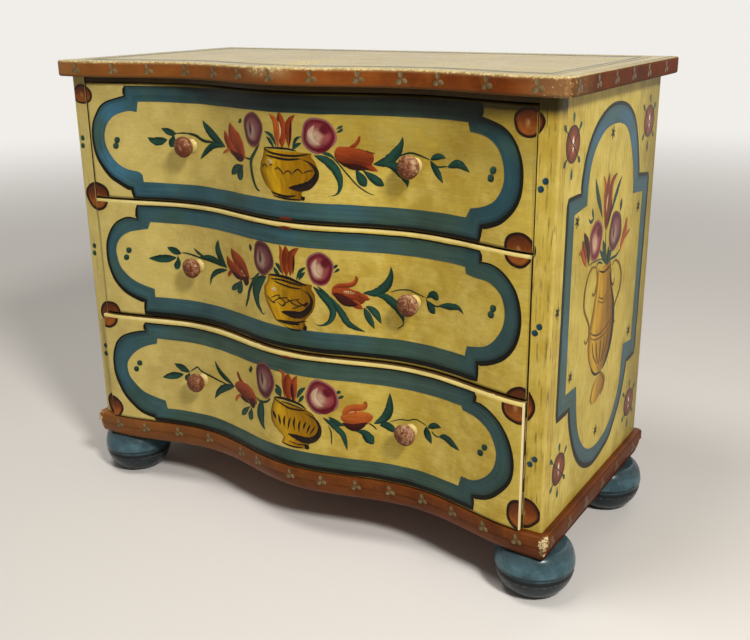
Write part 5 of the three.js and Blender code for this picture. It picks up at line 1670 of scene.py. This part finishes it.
SIDE_LINES = [
    ("amber", "stem", 4.4, [(139, 324), (123, 329), (109, 323), (101, 308), (99, 294), (101, 282),
                            (112, 268), (121, 256), (121, 243), (113, 236), (106, 243)]),
    ("amber", "stem", 4.0, [(136, 324), (141, 311), (139, 301), (132, 292), (124, 297)]),
    ("amber", "stem", 4.7, [(192, 315), (204, 320), (223, 309), (232, 291), (228, 275), (217, 264),
                            (209, 254), (210, 242), (219, 233)]),
    ("brown", "stem", 2.6, [(190, 314), (191, 300), (200, 288), (206, 297)]),
    ("brown", "stem", 1.7, [(148, 286), (167, 279), (182, 285)]),
    ("brown", "stem", 1.5, [(146, 281), (168, 274), (186, 279)]),
    ("brown", "stem", 2.5, [(124, 247), (143, 238), (163, 235), (187, 239), (207, 247)]),
    ("brown", "stem", 1.9, [(126, 240), (144, 232), (167, 229), (191, 232), (207, 240)]),
    ("brown", "stem", 2.6, [(136, 230), (142, 212), (156, 196)]),
    ("brown", "stem", 2.8, [(150, 227), (154, 211), (161, 195)]),
    ("brown", "stem", 2.8, [(166, 226), (167, 211), (166, 193)]),
    ("brown", "stem", 2.8, [(180, 227), (178, 211), (171, 194)]),
    ("brown", "stem", 2.8, [(194, 230), (189, 212), (176, 196)]),
    ("black", "comma", 7.0, [(188, 318), (187, 305), (194, 288), (206, 266), (210, 241), (208, 222),
                             (202, 205), (190, 190), (175, 181)]),
    ("black", "stem", 3.5, [(136, 198), (145, 188), (158, 182), (176, 181)]),
    ("amber", "stem", 5.2, [(170, 181), (180, 175), (190, 166), (189, 156), (178, 147)]),
    ("black", "stem", 2.8, [(146, 319), (165, 314), (189, 318)]),
]
SIDE_ROSES = [((128, 361), (21, 25), True), ((196, 359), (23, 25), False)]
OVALS = [(37, 485), (303, 481), (43, 100), (303, 91)]
OVAL_LEAVES = [(0, 27), (21, 17), (-24, 18), (20, -18), (-21, -18), (0, -31)]
STARS = [(165, 482), (62, 396), (282, 374), (66, 209), (278, 205), (168, 101), (15, 303)]


def oval_colors(x, y):
    """Red-brown within a dark ring, with a cream slit in the middle."""
    far = math.hypot(x, y)
    if far > 0.88:
        return linear("#3a1a10")
    tone = mixed(linear("#7e3c18"), linear("#5c2810"), fade(far, 0.4, 0.9))
    return mixed(tone, linear("#dfcfb4"), fade(math.hypot(x * 2.4, y * 0.9), 0.42, 0.22))


def side_band_tone(y, z, share):
    """Slate blue, bluer toward the top and darker at its outer edge."""
    tone = mixed(linear("#3a565a"), linear("#335a6c"), fade(z, 380, 500))
    return mixed(tone, BAND_LINE, 0.5 * fade(share, 0.25, 0))


random.seed(11)
side_outer, side_inner = (panel_outline(*ends) for ends in SIDE_BAND)
side_band = joined(
    "side_painted_band",
    [ring(BAND_LINE, outset(side_outer, 4.5, 6.5), outset(side_outer, -LINE_LAP, -LINE_LAP), 3, 5)],
    [ring(side_band_tone, side_outer, side_inner, 9, 5)])
side_leaves = [stroke(*line) for line in SIDE_LEAVES] + [vase(SIDE_VASE), vase(SIDE_FOOT)]
side_petals = [stroke(*line) for line in SIDE_PETALS] + [rose(*one) for one in SIDE_ROSES]
side_lines = [stroke(*line) for line in SIDE_LINES]
for y, z in OVALS:
    side_petals.append(disc((y, z), (20, 20.5), oval_colors, disc_shares, 0.015))
    for dy, dz in OVAL_LEAVES:
        side_leaves.append(stroke("dots", "drop", 6, [
            (y + dy * 0.72, z + dz * 0.76), (y + dy * 0.95, z + dz), (y + dy * 1.15, z + dz * 1.25)]))
    for way in (1, -1):
        side_lines.append(stroke("black", "stem", 1.6, [
            (y + way * 19, z + 15), (y + way * 4, z + 2), (y - way * 3, z - 4), (y - way * 17, z - 16)]))
for y, z in STARS:
    for turn in (0.3, 1.3, 2.4):
        dy, dz = 7.5 * math.cos(turn), 8.5 * math.sin(turn)
        side_lines.append(stroke("black", "leaf", 2.8, [(y - dy, z - dz), (y + 0.6, z), (y + dy, z + dz)]))
side_flowers = joined("side_painted_flowers", side_leaves, side_petals, side_lines)
for side_name, side in (("right", 1), ("left", -1)):
    face_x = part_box(f"side_board_{side_name}")[1 if side > 0 else 0].x
    for model, paint, slot in (
            (side_band, band_paint, "blue_paint"), (side_flowers, flower_paint, "red_paint")):
        laid(copied(model, f"{model.name}_{side_name}"),
             lambda y, z, lift: (face_x + side * lift, y + CORNER_Y, z + datum),
             "carcase", paint, slot, flipped=side < 0)
bpy.data.objects.remove(side_band)
bpy.data.objects.remove(side_flowers)

# Sprigs on the red edges.
# Small sprigs of three pale leaves follow each other round the edges of the top and of the plinth. Two thin
# slate-blue lines run round the upper face of the top.
EDGE_SPRIG = [((-0.5, 0.5), (-1, 9)), ((0.5, -0.5), (7.5, -4.5)), ((-1, -1), (-6.5, -6))]
TOP_SPRIGS_X = [-336, -276, -224, -164, -109, -59, -6, 52, 108, 161, 210, 277, 339]
SIDE_SPRIGS_Y = [9, 65, 122, 181, 238, 308]
PLINTH_SPRIGS_X = [-325, -279, -225, -171, -102, -65, -1, 47, 94, 141, 188, 236, 285, 332]
TOP_SPRIG_HEIGHT, TOP_SPRIG_SIZE = 548, 0.95
PLINTH_SPRIG_HEIGHT, PLINTH_SPRIG_SIZE = 22, 0.9
TOP_LINES = [(27, 29), (36, 39)]        # from the edge of the top to a line's outer and inner side


def edge_front(overhang):
    """Where a painted place lies on the front edge of a board."""
    return lambda x, z, lift: (x, curve_y(x) - overhang - lift, datum + z)


def sprigs(places, height, size, tone="sprig"):
    """A row of sprigs at the same height."""
    films = []
    for spot in places:
        slant = random.uniform(-0.8, 0.8)
        for start, end in EDGE_SPRIG:
            a = (spot + start[0] * size + slant, height + start[1] * size)
            b = (spot + end[0] * size, height + end[1] * size)
            films.append(stroke(tone, "fat", 6.8 * size, [a, mixed(a, b, 0.5), b]))
    return films


random.seed(21)
laid(joined("top_painted_lines", [
    ring(linear("#5d6657"), top_outline(out), top_outline(into), 3, out, 1.2) for out, into in TOP_LINES]),
    lambda x, y, lift: (x, y, top_high.z + lift), "carcase", flower_paint, "blue_paint")
laid(joined("top_edge_sprigs_front", sprigs(TOP_SPRIGS_X, TOP_SPRIG_HEIGHT, TOP_SPRIG_SIZE)),
     edge_front(TOP_OVERHANG), "carcase", flower_paint, "yellow_paint")
laid(joined("plinth_edge_sprigs_front", sprigs(PLINTH_SPRIGS_X, PLINTH_SPRIG_HEIGHT, PLINTH_SPRIG_SIZE)),
     edge_front(BASE_OVERHANG), "carcase", flower_paint, "yellow_paint")
for side_name, side in (("right", 1), ("left", -1)):
    for board, reach, height, size in (
            ("top", top_reach, TOP_SPRIG_HEIGHT, TOP_SPRIG_SIZE),
            ("plinth", base_reach, PLINTH_SPRIG_HEIGHT, PLINTH_SPRIG_SIZE)):
        laid(joined(f"{board}_edge_sprigs_{side_name}", sprigs(SIDE_SPRIGS_Y, height, size, "faded")),
             lambda y, z, lift: (side * (reach + lift), y + CORNER_Y, z + datum),
             "carcase", flower_paint, "yellow_paint", flipped=side < 0)
